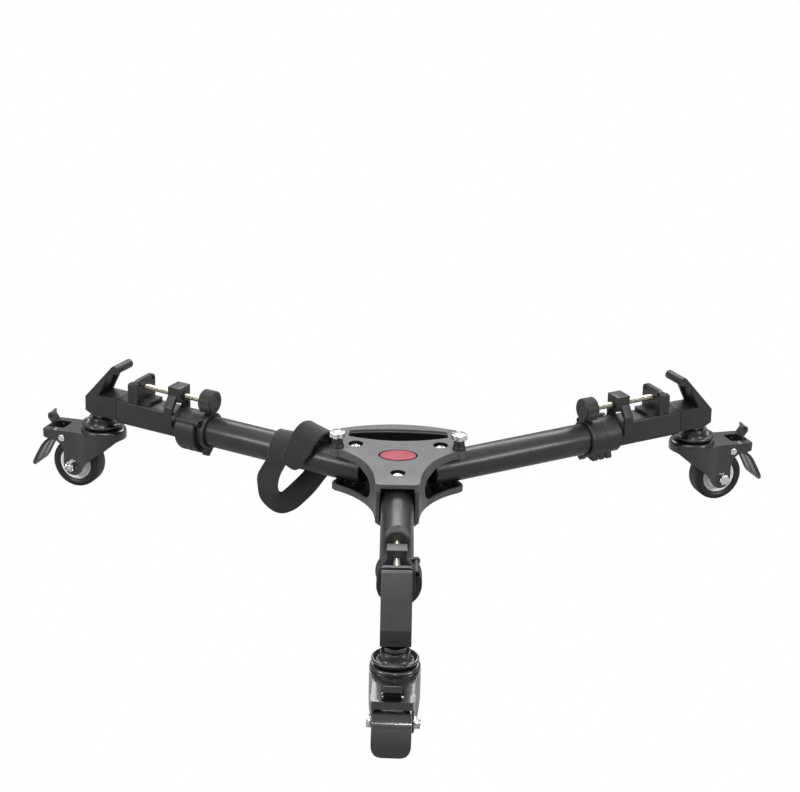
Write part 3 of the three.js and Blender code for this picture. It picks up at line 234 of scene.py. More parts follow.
def boolean(mesh, *cutters, operation="DIFFERENCE"):
    for cutter in cutters:
        tool = bpy.data.objects.new("tool", cutter)
        scene.collection.objects.link(tool)
        mesh = with_modifier(mesh, "BOOLEAN", {"object": tool, "operation": operation, "solver": "EXACT"})
        bpy.data.objects.remove(tool)
    return mesh


def bevelled(mesh, width, segments=2, angle=30):
    """The mesh with its sharper edges rounded."""
    return with_modifier(mesh, "BEVEL", {
        "width": width, "segments": segments, "limit_method": "ANGLE", "angle_limit": radians(angle),
        "miter_outer": "MITER_ARC"})


def box_mesh(x0, x1, y0, y1, z0, z1):
    bm = bmesh.new()
    bmesh.ops.create_cube(bm, size=1)
    centre = Matrix.Translation(((x0 + x1) / 2, (y0 + y1) / 2, (z0 + z1) / 2))
    size = Matrix.Diagonal((x1 - x0, y1 - y0, z1 - z0, 1))
    bmesh.ops.transform(bm, matrix=centre @ size, verts=bm.verts)
    return to_mesh(bm)


def round_shape(radius, count, notch=lambda k: 0.0, centre=(0.0, 0.0), squeeze=1.0):
    """Closed outline about a centre; each point can be set in, and the whole squeezed along y."""
    points = []
    for k in range(count):
        angle = tau * k / count
        reach = radius - notch(k)
        points.append((centre[0] + reach * cos(angle), centre[1] + reach * squeeze * sin(angle)))
    return points


def turned(profile, sides=72, soft=0.4, axis="Z", centre=(0, 0, 0)):
    """Solid from an outline that starts and ends on the axis."""
    return lathe(profile, axis, centre, sides, soft, closed=False)


def pipe(bore, outer, start, end, axis="Z", centre=(0, 0, 0), sides=48, soft=0.4):
    """Round pipe between two radii."""
    return lathe([(bore, start), (outer, start), (outer, end), (bore, end)], axis, centre, sides, soft)


def rod(radius, low, high, axis="Z", centre=(0, 0, 0), sides=48, soft=0.3):
    return turned([(0, low), (radius, low), (radius, high), (0, high)], sides, soft, axis, centre)


def piece(name, mesh, matrix, material, body, nodes=()):
    """Puts a copy of a mesh in the scene, riding on a body in place of CAD nodes."""
    mesh = mesh.copy()
    mesh.transform(matrix)
    mesh.materials.clear()
    mesh.materials.append(material)
    mesh.polygons.foreach_set("use_smooth", [True] * len(mesh.polygons))
    mesh.polygons.foreach_set("material_index", [0] * len(mesh.polygons))
    mesh.set_sharp_from_angle(angle=SHARP_EDGE)
    mesh.update()
    obj = bpy.data.objects.new(name, mesh)
    scene.collection.objects.link(obj)
    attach(obj, body)
    if nodes:
        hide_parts(*nodes)
    return obj


def node(tree, kind, **values):
    item = tree.nodes.new(kind)
    for key, value in values.items():
        if key in item.inputs:
            item.inputs[key].default_value = value
        else:
            setattr(item, key, value)
    return item


def new_material(name):
    material = bpy.data.materials.new(f"{name}_look")
    material["slot"] = name
    material.use_nodes = True
    tree = material.node_tree
    shader = tree.nodes["Principled BSDF"]
    coords = tree.nodes.new("ShaderNodeTexCoord")
    return material, tree, shader, coords.outputs["Object"]


def noise(tree, coords, scale, detail):
    item = node(tree, "ShaderNodeTexNoise", Scale=scale, Detail=detail, Roughness=0.55)
    tree.links.new(coords, item.inputs["Vector"])
    return item.outputs["Fac"]


def remap(tree, value, low, high, out_low, out_high):
    item = tree.nodes.new("ShaderNodeMapRange")
    for key, number in zip(("From Min", "From Max", "To Min", "To Max"), (low, high, out_low, out_high)):
        item.inputs[key].default_value = number
    tree.links.new(value, item.inputs["Value"])
    return item.outputs["Result"]


def blend_colours(tree, factor, first, second):
    item = node(tree, "ShaderNodeMix", data_type="RGBA")
    tree.links.new(factor, item.inputs[MIX_FACTOR])
    item.inputs[MIX_FIRST].default_value = (*first, 1)
    item.inputs[MIX_SECOND].default_value = (*second, 1)
    return item.outputs[MIX_RESULT]


def bump(tree, height, strength, distance):
    item = node(tree, "ShaderNodeBump", Strength=strength, Distance=distance)
    tree.links.new(height, item.inputs["Height"])
    return item.outputs["Normal"]


def painted(name, dark, light, roughness, spread, grain, grain_depth, coat=0.0, specular=0.5):
    """Paint or plastic over a casting: cloudy colour, mottled gloss and a fine grain."""
    material, tree, shader, coords = new_material(name)
    cloud = remap(tree, noise(tree, coords, 45, 4), 0.35, 0.65, 0, 1)
    mottle = remap(tree, noise(tree, coords, 130, 4), 0.3, 0.7, roughness - spread, roughness + spread)
    tree.links.new(blend_colours(tree, cloud, dark, light), shader.inputs["Base Color"])
    tree.links.new(mottle, shader.inputs["Roughness"])
    tree.links.new(bump(tree, noise(tree, coords, grain, 3), grain_depth, 0.0002), shader.inputs["Normal"])
    shader.inputs["Specular IOR Level"].default_value = specular
    shader.inputs["Coat Weight"].default_value = coat
    shader.inputs["Coat Roughness"].default_value = 0.08
    return material


def plated(name, colour, roughness):
    """Bright plating with faint lines and smears."""
    material, tree, shader, coords = new_material(name)
    cloud = remap(tree, noise(tree, coords, 260, 4), 0.3, 0.7, 0, 1)
    smear = remap(tree, noise(tree, coords, 700, 5), 0.3, 0.7, roughness * 0.7, roughness * 1.4)
    dim = tuple(c * 0.86 for c in colour)
    tree.links.new(blend_colours(tree, cloud, dim, colour), shader.inputs["Base Color"])
    tree.links.new(smear, shader.inputs["Roughness"])
    tree.links.new(bump(tree, noise(tree, coords, 1800, 2), 0.06, 0.0001), shader.inputs["Normal"])
    shader.inputs["Metallic"].default_value = 1
    return material


GREY = painted("hub_paint", (0.074, 0.074, 0.079), (0.091, 0.091, 0.097), 0.40, 0.05, 2600, 0.10)
CAST = painted("dark_cast", (0.021, 0.021, 0.0225), (0.027, 0.027, 0.029), 0.40, 0.05, 2200, 0.12)
GLOSS = painted("black_gloss", (0.011, 0.011, 0.012), (0.015, 0.015, 0.016), 0.30, 0.03, 900, 0.03, coat=0.9)
TUBE = painted("black_gloss", (0.017, 0.017, 0.019), (0.023, 0.023, 0.025), 0.36, 0.03, 1400, 0.04, coat=0.15)
PLASTIC = painted("black_plastic", (0.018, 0.018, 0.019), (0.024, 0.024, 0.025), 0.44, 0.05, 3200, 0.14)
# Near-black paint laid inside the hub's hollows: painted shade, not a real lining.
SHADE_LINING = painted("black_plastic", (0.004, 0.004, 0.004), (0.006, 0.006, 0.006), 0.6, 0.05, 2600, 0.12,
                 specular=0.12)
RUBBER = painted("tyre", (0.014, 0.014, 0.015), (0.019, 0.019, 0.020), 0.34, 0.05, 1900, 0.10)
DISC = painted("pale_disc", (0.93, 0.93, 0.93), (0.97, 0.97, 0.96), 0.35, 0.04, 1500, 0.06)
RED = painted("red_inlay", (0.27, 0.028, 0.042), (0.33, 0.042, 0.07), 0.42, 0.04, 1600, 0.08, specular=0.3)
CHROME = plated("chrome", (0.92, 0.92, 0.91), 0.18)
ROD = plated("chrome", (0.66, 0.61, 0.52), 0.2)
STEEL = plated("steel", (0.62, 0.62, 0.63), 0.28)


def woven():
    """Webbing: a fine twill across the band, over cloudy black."""
    material, tree, shader, coords = new_material("webbing")
    wave = node(tree, "ShaderNodeTexWave", wave_type="BANDS", bands_direction="DIAGONAL", Scale=420,
                Distortion=0.6)
    tree.links.new(coords, wave.inputs["Vector"])
    cross = noise(tree, coords, 2600, 2)
    mixed = node(tree, "ShaderNodeMath", operation="MULTIPLY")
    tree.links.new(wave.outputs["Fac"], mixed.inputs[0])
    tree.links.new(cross, mixed.inputs[1])
    colour = blend_colours(tree, mixed.outputs[0], (0.010, 0.010, 0.011), (0.030, 0.030, 0.032))
    tree.links.new(colour, shader.inputs["Base Color"])
    tree.links.new(bump(tree, mixed.outputs[0], 0.35, 0.0003), shader.inputs["Normal"])
    shader.inputs["Roughness"].default_value = 0.85
    shader.inputs["Sheen Weight"].default_value = 0.25
    shader.inputs["Sheen Roughness"].default_value = 0.5
    return material


WEBBING = woven()
SLOTS = {"hub_paint": GREY, "dark_cast": CAST, "black_gloss": GLOSS, "black_plastic": PLASTIC, "tyre": RUBBER,
         "pale_disc": DISC, "red_inlay": RED, "chrome": CHROME, "steel": STEEL, "webbing": WEBBING}
for part in frame["record"]["subparts"]:
    data = frame["nodes"][part["node"]].data
    data.materials.clear()
    data.materials.append(SLOTS[part["material_slot"]])


def polar(angle, along, side):
    """A point out along a direction and aside of it."""
    a = radians(angle)
    return (along * cos(a) - side * sin(a), along * sin(a) + side * cos(a))


BOLT_PLACES = [polar(angle, PIVOT_R, 0) for angle in LEGS.values()]


def bezier(start, control, end, steps):
    """Points after the start of a quadratic curve."""
    a, b, c = Vector(start), Vector(control), Vector(end)
    shares = [k / steps for k in range(1, steps + 1)]
    return [tuple(a * (1 - t) ** 2 + b * 2 * t * (1 - t) + c * t * t) for t in shares]


def lobed(side_reach, front_reach, half, waist, corner=None):
    """Outline of a hub plate, the same curves as the CAD plate's."""
    corner = corner or half / 3
    order = [(LEGS["front"], front_reach), (LEGS["right"], side_reach), (LEGS["left"], side_reach)]
    points = []
    for i, (angle, reach) in enumerate(order):
        first = polar(angle, reach - corner, -half)
        if i == 0:
            points.append(first)
        points += bezier(first, polar(angle, reach, -half), polar(angle, reach, corner - half), 8)
        points.append(polar(angle, reach, half - corner))
        end = polar(angle, reach - corner, half)
        points += bezier(points[-1], polar(angle, reach, half), end, 8)
        next_angle, next_reach = order[(i + 1) % 3]
        hollow = polar(angle + 60, waist * WAIST_SHARE, 0)
        points += bezier(end, hollow, polar(next_angle, next_reach - corner, -half), 40)
    return points[:-1]


def handle_outline():
    """Carry handle: two straight sides and a bowed back."""
    half, reach, bar, start = HANDLE_HALF_W, 72.5, 12.5, 27.0
    shoulder = (half, reach - bar)
    points = [(-half, start), (half, start), shoulder]
    points += bezier(shoulder, (half / 2, reach), (0, reach), 20)
    points += bezier((0, reach), (-half / 2, reach), (-half, reach - bar), 20)
    return points


def slot_outline(back=SLOT_BACK_Y):
    """The handle's finger slot, bowed at the front and back."""
    front, half, wall = 31, 47, 4
    tip = (front + SLOT_BACK_Y) / 2 - wall
    points = [(-half, tip)]
    points += bezier(points[-1], (-half / 2, front), (0, front), 16)
    points += bezier(points[-1], (half / 2, front), (half, tip), 16)
    points += bezier(points[-1], (half, back - wall), (half - wall, back - wall), 8)
    points += bezier(points[-1], (half / 2, back), (0, back), 16)
    points += bezier(points[-1], (-half / 2, back), (wall - half, back - wall), 16)
    points += bezier(points[-1], (-half, back - wall), (-half, tip), 8)
    return points[:-1]


def prism(outline, low, high, axis="Z"):
    """Sharp-edged plate from one outline."""
    bm = bmesh.new()
    base = [bm.verts.new((x, y, low)) for x, y in outline]
    top = [bm.verts.new((x, y, high)) for x, y in outline]
    bm.faces.new(base[::-1])
    bm.faces.new(top)
    for k in range(len(base)):
        n = (k + 1) % len(base)
        bm.faces.new((base[k], base[n], top[n], top[k]))
    bmesh.ops.transform(bm, matrix=PRISM_TURN[axis], verts=bm.verts)
    return finished(bm)


def wall_row(bm, point, inward, start, end, low, high):
    """Four corners of a wall's section at one point of its plan."""
    outer, inner = point + inward * start, point + inward * end
    corners = ((*outer, low), (*outer, high), (*inner, high), (*inner, low))
    return [bm.verts.new(corner) for corner in corners]


def wall_opening(side):
    """Cutter for the D-shaped opening in a side wall, drawn in y and height."""
    shape = [(12, 73.4), (-5, 73.6), (-14, 74.6), (-20.8, 76.6)]
    shape += bezier(shape[-1], (-31.5, 79.5), (-33.4, 90), 10)
    shape += bezier(shape[-1], (-34, 96.6), (-24, 99.2), 10)
    shape += bezier(shape[-1], (-15, 101.4), (-9.5, 104.55), 8) + [(12, 104.55)]
    return prism(shape, min(side * 12, side * 64), max(side * 12, side * 64), "X")


def hub_web(side, outer_gap=0.6, inner_gap=4.2, low=72.0, high=106.0):
    """Side wall between the plates, from the front lobe back to a side lobe, with its D-shaped opening."""
    line = [p for p in lobed(*TOP_LOBES) if 0 < p[0] * side < WEB_REACH_X and WEB_FRONT_Y < p[1] < WEB_BACK_Y]
    line.sort(key=lambda p: p[1])
    bm = bmesh.new()
    rows = []
    for i, point in enumerate(line):
        along = direction_at(line, i)
        inward = Vector((-along.y, along.x)) * (1 if -along.y * side < 0 else -1)
        rows.append(wall_row(bm, Vector(point), inward, outer_gap, inner_gap, low, high))
    join_loops(bm, rows)
    bm.faces.new(rows[0])
    bm.faces.new(rows[-1][::-1])
    return boolean(finished(bm), wall_opening(side))


def hub_top_mesh():
    """Top plate with the handle, the finger slot, the seats of the bolts and the inlay, and the walls."""
    body = prism(lobed(*TOP_LOBES), PLATE_LOW, PLATE_TOP)
    body = boolean(body, prism(handle_outline(), PLATE_LOW, PLATE_TOP), operation="UNION")
    back_part = box_mesh(-HANDLE_HALF_W, HANDLE_HALF_W, 47.5, 80, 90, 120)
    grip = boolean(prism(handle_outline(), GRIP_LOW, PLATE_TOP), back_part, operation="INTERSECT")
    body = boolean(body, grip, operation="UNION")
    for leg, side in LOCK_SIDES.items():
        x, y = polar(LEGS[leg], LOCK_R, side)
        body = boolean(body, rod(6.5, PLATE_LOW, PLATE_TOP, centre=(x, y, 0), soft=0), operation="UNION")
    body = bevelled(body, 2.4, 5, 50)
    body = boolean(body, prism(slot_outline(SLOT_LEDGE_Y), 60, 130), prism(slot_outline(), 110.7, 130))
    for x, y in BOLT_PLACES:
        seat = rod(7.1, 107.4, 120, centre=(x, y, 0), soft=0)
        body = boolean(body, seat, rod(BOLT_HOLE_R, 90, 120, centre=(x, y, 0), soft=0))
    oval = round_shape(18.4, 64, centre=(0.0, INLAY_Y), squeeze=0.75)
    body = boolean(body, prism(oval, 110.8, 120), box_mesh(-15.6, 15.6, -80, -63, 100, 108.6))
    body = bevelled(body, 0.35, 2, 50)
    walls = [bevelled(hub_web(side), 0.9, 3, 40) for side in (-1, 1)]
    rear = bevelled(box_mesh(-18, 18, 23, 27, 74.6, 106.5), 0.6, 2, 40)
    return merge(body, *walls, rear)


def hub_base_mesh():
    """Bottom tray with a raised rim and the bolts' holes."""
    base = prism(lobed(64, 70, 19, 36, 11), 69, 74.4)
    base = boolean(base, prism(lobed(61.2, 67, 15.6, 32.6, 8), 70.8, 80))
    for x, y in BOLT_PLACES:
        base = boolean(base, rod(BOLT_HOLE_R, 60, 80, centre=(x, y, 0), soft=0))
    return bevelled(base, 0.9, 3, 40)


def skin(outline, low, high, start, end):
    """Thin wall that follows a closed outline, between two distances inside it."""
    points = [Vector(point) for point in outline]
    count = len(points)
    area = sum(points[k - 1].cross(points[k]) for k in range(count))
    bm = bmesh.new()
    rows = []
    for k, point in enumerate(points):
        along = (points[(k + 1) % count] - points[k - 1]).normalized()
        inward = Vector((-along.y, along.x)) * (1 if area > 0 else -1)
        rows.append(wall_row(bm, point, inward, start, end, low, high))
    join_loops(bm, rows + rows[:1])
    return finished(bm)


def painted_shade_mesh():
    """Dark inner skin of the tray's floor, the side walls, the handle's slot and the seats, and a ring round
    the inlay: painted shade where these hollows lie in shadow.
    """
    floor = prism(lobed(61.0, 66.8, 15.4, 32.3, 8), 70.9, 71.3)
    seats = []
    for x, y in BOLT_PLACES:
        tray_seat = [(4.4, 71.2), (9.5, 71.2), (9.5, 72.6), (9.0, 73.2), (4.4, 73.2)]
        head_seat = [(4.6, 107.5), (7.0, 107.5), (7.0, 112.3), (6.7, 112.3), (6.7, 107.8), (4.6, 107.8)]
        seats.append(lathe(tray_seat, centre=(x, y, 0), sides=64, soft=0.3))
        seats.append(lathe(head_seat, centre=(x, y, 0), sides=64, soft=0))
        floor = boolean(floor, rod(4.4, 60, 80, centre=(x, y, 0), soft=0))
    walls = [hub_web(side, 4.3, 4.7, 74.6, 104.0) for side in (-1, 1)]
    # Dark ring round the inlay: painted shadow in its recess.
    oval = lathe([(0.95, 110.9), (1.06, 110.9), (1.06, 112.4), (1.03, 112.4), (1.03, 111.2), (0.95, 111.2)],
                 sides=96, soft=0)
    oval.transform(Matrix.Translation((0, INLAY_Y, 0)) @ Matrix.Diagonal((17.3, 12.9, 1, 1)))
    return merge(floor, skin(slot_outline(SLOT_LEDGE_Y), 100.8, 110.2, 0.1, 0.5), *seats, *walls, oval)


def badge_mesh():
    """Bare oval inlay with a low crown."""
    crown = [(0, -1.1), (1, -1.1), (1, 0.35), (0.93, 0.75), (0.6, 1.0), (0, 1.1)]
    dome = turned(crown, 96, 0.04)
    dome.transform(Matrix.Diagonal((16.6, 12.1, 1, 1)))
    dome.transform(Matrix.Translation((0, INLAY_Y, 112.3)))
    return dome


def pivot_bolt_mesh():
    """Socket-headed bolt with its washer and nut below the tray."""
    shank = turned([(0, 62.9), (3.4, 62.9), (4, 63.6), (4, 108.0), (0, 108.0)], 40, 0.2)
    head = turned([(0, 107.9), (5.6, 107.9), (5.6, 109.2), (5.0, 110.3), (3.6, 110.8), (0, 110.9)], 64)
    head = boolean(head, rod(2.4, 109.2, 115, sides=6, soft=0))
    nut = bevelled(rod(7.0, 63.2, 68.7, sides=6, soft=0), 0.5)
    washer = pipe(4.4, 7.2, 67.9, 68.7, soft=0.2)
    return merge(shank, head, nut, washer)


def lock_sleeve_mesh():
    """Flared plastic sleeve below a thumb screw."""
    profile = [(2.7, 112.8), (6.2, 112.8), (6.3, 113.8), (5.6, 115.4), (5.2, 117.0), (5.2, 119.6),
               (4.6, 120.9), (2.7, 120.9)]
    return lathe(profile, sides=64, soft=0.6)


def lock_screw_mesh():
    """Plated thumb screw with a deeply scalloped head."""
    neck = turned([(0, 104.7), (2.4, 104.7), (2.4, 121.6), (3.8, 122.8), (0, 122.8)], 40, 0.2)

    def scallop(k):
        return 1.5 * max(0.0, cos(5 * tau * k / 120 + 0.6)) ** 2

    head = bevelled(prism(round_shape(7.4, 120, scallop), 122.4, 127.6), 1.3, 4, 40)
    cap = turned([(0, 127.2), (4.6, 127.2), (4.0, 128.3), (2.0, 128.8), (0, 128.8)], 48)
    return merge(neck, head, cap)


def build_hub():
    hub = hub_frame()
    piece("hub_top_fine", hub_top_mesh(), hub, GREY, "hub", ["hub_top"])
    piece("hub_base_fine", hub_base_mesh(), hub, GREY, "hub", ["hub_base"])
    # Painted shade: a near-black skin in the hub's hollows.
    piece("hub_painted_shade", painted_shade_mesh(), hub, SHADE_LINING, "hub")
    piece("hub_inlay", badge_mesh(), hub, RED, "hub", ["hub_badge"])
    bolt, sleeve, screw = pivot_bolt_mesh(), lock_sleeve_mesh(), lock_screw_mesh()
    for leg in LEGS:
        place = arm_frame(leg) @ Matrix.Translation((PIVOT_R, 0, 0))
        piece(f"bolt_{leg}", bolt, place, CHROME, "hub", [f"pivot_bolt_{leg}"])
    for leg, side in LOCK_SIDES.items():
        place = arm_frame(leg) @ Matrix.Translation((LOCK_R, side, 0))
        piece(f"sleeve_{leg}", sleeve, place, PLASTIC, "hub", [f"lock_sleeve_{leg}"])
        piece(f"thumb_screw_{leg}", screw, place, CHROME, f"lock_screw_{leg}", [f"lock_screw_{leg}"])


def tube_mesh():
    """Leg tube, drilled for its pivot bolt."""
    tube = pipe(13, 15, 34.3, 231, "X", ARM_AXIS, 96, 0.5)
    return boolean(tube, rod(BOLT_HOLE_R, 60, 120, centre=(PIVOT_R, 0, 0), soft=0))


def inner_tube_mesh():
    """Inner tube with the guide plug on its hidden end."""
    tube = pipe(8.4, 10, 92, 288, "X", ARM_AXIS, 64)
    plug = pipe(10.1, 12.4, 92.4, 101.8, "X", ARM_AXIS, 64, 0.6)
    return merge(tube, plug)


def collar_point(radius, angle):
    """Across and up, at a radius and angle about the leg's axis."""
    return (radius * cos(radians(angle)), AXIS_Z + radius * sin(radians(angle)))


def collar_mesh():
    """Clamp ring over the tube's end, with its flange tab and the two knuckles of the lever's pin."""
    profile = [(15.3, 206), (17.9, 206), (18.3, 206.7), (18.3, 209.7), (17.7, 210.3), (17.2, 210.7),
               (17.2, 223), (17.0, 223.3), (17.0, 224.1), (17.2, 224.4), (17.2, 239.4), (16.4, 240.5),
               (10.3, 240.5), (10.3, 231.3), (15.3, 231.3)]
    band = lathe(profile, "X", ARM_AXIS, 96, 0.35)
    pin = (0, *collar_point(*LEVER_PIN))
    tab = [collar_point(*at) for at in ((16.5, -58), (24.4, -68), (24.8, -78), (16.5, -104))]
    parts = [band, bevelled(prism(tab, 206.2, 212.6, "X"), 0.5, 2, 30)]
    for x in (210.4, 236.5):
        end = x + KNUCKLE_T
        knuckle = pipe(1.9, 3.3, x, end, "X", pin, 40)
        corners = [collar_point(*at) for at in ((16.3, 24), (20.2, 27), (22.4, 39), (16.3, 60))]
        web = bevelled(prism(corners, x, end, "X"), 0.4, 2, 30)
        parts += [knuckle, boolean(web, rod(1.95, x - 1, end + 1, "X", pin, soft=0))]
    return merge(*parts)


def lever_mesh():
    """Lever that wraps round the collar: a curved leaf whose thick tip is cut into three fins."""
    inner, first, last = 17.65, 214.7, 236.2
    top_angle, sweep = 32, 136
    leaf_t, tip_extra, web_t = 4.4, 2.4, 0.6
    arcs, across, fins = 72, 60, 3
    bm = bmesh.new()
    outer_rows, inner_rows = [], []
    for i in range(arcs + 1):
        share = i / arcs
        angle = top_angle - sweep * share
        thick = leaf_t + tip_extra * max(0, share * 2.4 - 1.4)
        edge = min(1.0, min(share, 1 - share) * arcs / 5)
        outer_row, inner_row = [], []
        for k in range(across + 1):
            at = k / across
            x = first + (last - first) * at
            groove = max(0.0, cos((at * fins) * tau)) ** 3 if 0.12 < at < 0.88 else 0.0
            depth = (thick - web_t) * groove * min(max((share - 0.52) / 0.14, 0), 1)
            side = min(1.0, min(at, 1 - at) * across / 4)
            lip = 0.7 * quarter_fall(side) + 0.9 * quarter_fall(edge)
            outer_row.append(bm.verts.new((x, *collar_point(inner + thick - depth - lip, angle))))
            inner_row.append(bm.verts.new((x, *collar_point(inner, angle))))
        outer_rows.append(outer_row)
        inner_rows.append(inner_row)
    join_sheets(bm, outer_rows, inner_rows)
    barrel = rod(2.5, first, last, "X", (0, *collar_point(*LEVER_PIN)), 40, 0.5)
    return merge(finished(bm), barrel)


def quarter_fall(share):
    """How far a rounded edge has fallen, from 1 at its rim to 0 where it has run out."""
    return 1 - sqrt(1 - (1 - share) ** 2)


def rounded_rect(x0, x1, y0, y1, lower, upper):
    """Rectangle whose lower and upper corners have radii of their own."""
    steps = 8
    points = [(x1 - lower, y0)]
    points += bezier(points[-1], (x1, y0), (x1, y0 + lower), steps)
    points.append((x1, y1 - upper))
    points += bezier(points[-1], (x1, y1), (x1 - upper, y1), steps)
    points.append((x0 + upper, y1))
    points += bezier(points[-1], (x0, y1), (x0, y1 - upper), steps)
    points.append((x0, y0 + lower))
    points += bezier(points[-1], (x0, y0), (x0 + lower, y0), steps)
    return points


def rail_mesh():
    """Extruded saddle, bored for the inner tube and socketed for the bracket's spigot."""
    body = prism(rounded_rect(-BOX_HALF_W, BOX_HALF_W, 78, FLOOR_Z, 6.5, 2.5), RAIL_START_R, RAIL_END_R, "X")
    body = boolean(body, rod(10.3, 200, 288.3, "X", ARM_AXIS, 64, 0),
                   prism(rounded_rect(-9.3, 9.3, 83.25, 98.85, 2, 2), 294.4, 320, "X"))
    return bevelled(body, 0.6, 3, 40)


def bracket_mesh():
    """Boot-shaped casting: a solid toe, two cheeks and the sloped back that a foot leans on."""
    toe, nose, nose_r = (347.5, 99.6), (312.2, 133.3), 4.4
    slope = Vector((nose[0] - toe[0], nose[1] - toe[1])).normalized()
    start = atan2(-slope.x, slope.y)
    sweep = radians(235) - start
    shape = [(311, 82), (340, 82), (347.5, 85.3), toe]
    for k in range(25):
        angle = start + sweep * k / 24
        shape.append((nose[0] + nose_r * cos(angle), nose[1] + nose_r * sin(angle)))
    shape += bezier(shape[-1], (318.5, 129), (321.5, 124), 8)
    shape += [(331.5, FLOOR_Z), (311, FLOOR_Z)]
    hollow = [(333.9, FLOOR_Z), (325.5, 124), (317.5, 128), (313.5, 124), (313, FLOOR_Z)]
    body = boolean(prism(shape, -BOX_HALF_W, BOX_HALF_W, "Y"), prism(hollow, -9.8, 9.8, "Y"))
    spigot = prism(rounded_rect(-9, 9, 83.55, 98.55, 2, 2), 295, 312, "X")
    return merge(bevelled(body, 0.9, 4, 30), spigot)


def yoke_mesh():
    """Arch that stands astride the rail and carries the clamp screw in a bush."""
    right = [(7.2, 114), (13.3, 106.5), (13.3, 90), (16.2, 90), (16.2, 109.4), (8.7, 119.4), (8.7, 128.4)]
    arch = [(-y, z) for y, z in reversed(right)] + right
    legs = prism(soften(arch, 1.2, 3), 242.7, 252, "X")
    body = boolean(legs, box_mesh(238, 252, -8.7, 8.7, 114, 128.4), operation="UNION")
    body = boolean(body, rod(3.2, 230, 260, "X", SCREW_AXIS, 40, 0))
    bush = pipe(3.2, 4.6, 236.4, 238.2, "X", SCREW_AXIS)
    return merge(bevelled(body, 0.8, 3, 30), bush)


def jaw_mesh():
    """Plate with rounded ears and a hollowed cup, on a shoe that rides along the rail."""
    body = prism(rounded_rect(-15.4, 15.4, JAW_LOW, 129, 1.5, 6), 283.5, JAW_FACE_R, "X")
    cup = prism(rounded_rect(-11, 11, JAW_LOW, 124, 1.5, 4), JAW_FACE_R - 2, 299, "X")
    body = boolean(body, cup, box_mesh(272, 297, -11, 11, JAW_LOW, 107.4), operation="UNION")
    body = boolean(body, rod(15, 100, 131, centre=(307.9, 0, 0), sides=96, soft=0))
    for side in (-11, 11):
        body = boolean(body, rod(1.9, 280, 292, "X", (0, side, 124.6), 32, 0))
    body = boolean(body, rod(3.2, 280, 292, "X", SCREW_AXIS, 40, 0),
                   rod(6, JAW_FACE_R, 302, "X", SCREW_AXIS, 48, 0))
    return bevelled(body, 0.7, 3, 35)


def screw_mesh():
    """Threaded rod: a helical surface, then the flange that turns in the jaw."""
    bm = bmesh.new()
    sides, start, end, step = 28, 214.0, 283.0, 0.2
    pitch, crest_r, depth = 1.0, 2.9, 0.24
    count = int(round((end - start) / step))
    rows = []
    for i in range(count + 1):
        x = start + i * step
        row = []
        for k in range(sides):
            turn = (x - start - pitch * k / sides) % pitch
            radius = crest_r - depth * abs(2 * turn / pitch - 1) * min(1.0, i / 8)
            angle = tau * k / sides
            row.append(bm.verts.new((x, radius * cos(angle), SCREW_Z + radius * sin(angle))))
        rows.append(row)
    join_loops(bm, rows)
    bm.faces.new(rows[0][::-1])
    bm.faces.new(rows[-1])
    flange = [(0, end), (2.8, end), (2.8, 288), (4.6, 288), (4.6, 290), (0, 290)]
    return merge(finished(bm), turned(flange, 40, 0.3, "X", SCREW_AXIS))


def knob_mesh():
    """Turned knob with a fine straight knurl and a dished face."""
    ridges, groove = 72, 0.22
    outline = round_shape(11.3, ridges * 3, lambda k: groove if k % 3 == 0 else 0.0, (0, SCREW_Z))
    grip = prism(outline, 203.6, 215.4, "X")
    face = [(0, 202.9), (6.5, 202.9), (7.4, 202.5), (9.9, 202.5), (11.0, 203.7), (11.0, 203.9), (0, 203.9)]
    back = [(3.2, 215.2), (11.0, 215.2), (11.0, 215.5), (10.2, 216.5), (3.2, 216.5)]
    return merge(grip, turned(face, 96, 0.3, "X", SCREW_AXIS), lathe(back, "X", SCREW_AXIS, 96, 0.3))


def race_mesh():
    """Swivel bearing: stem and nut, a domed cap, a pressed cup with its lip, and the king pin's foot."""
    stem = turned([(0, 97), (4.6, 97), (5, 96.4), (5, 76.4), (0, 76.4)], soft=0.2)
    nut = bevelled(rod(10.6, 77.4, 81.7, sides=6, soft=0), 0.8, 3)
    washer = lathe([(5, 76.3), (12.4, 76.3), (12.8, 76.9), (12.4, 77.5), (5, 77.5)], soft=0.3, sides=96)
    cap = [(0, 76.4), (11.6, 76.4), (12.2, 75.8), (12.7, 73.6), (13.6, 71.0), (15.0, 69.6)]
    cup = [(16.4, 69.9), (17.3, 71.2), (18.4, 71.7), (19.5, 71.3), (20.0, 70.2), (19.7, 69.0), (18.8, 68.2)]
    foot = [(17.2, 67.8), (17.0, 66.7), (4.5, 66.7), (4.5, 60.1), (7.4, 60.1), (7.5, 58.9), (6.4, 58.1)]
    return merge(stem, nut, washer, turned(cap + cup + foot + [(0, 58.1)], 128, 0.5))


def fork_plan(inset=0.0):
    """Keyhole seen from above: a round crown that narrows to the cheeks."""
    half, crown, end = 17.4 - inset, 21.4 - inset, 58.5 - inset
    back = 24.6 - inset
    upper = [(-back * cos(radians(a)), crown * sin(radians(a))) for a in range(0, 91, 5)]
    upper += bezier(upper[-1], (8, crown), (14, 19.4 - inset), 8)
    upper += bezier(upper[-1], (20, half), (28, half), 8)
    upper += [(end - 3, half)]
    upper += bezier(upper[-1], (end, half), (end, half - 3), 5)
    return upper + [(x, -y) for x, y in reversed(upper[1:])]


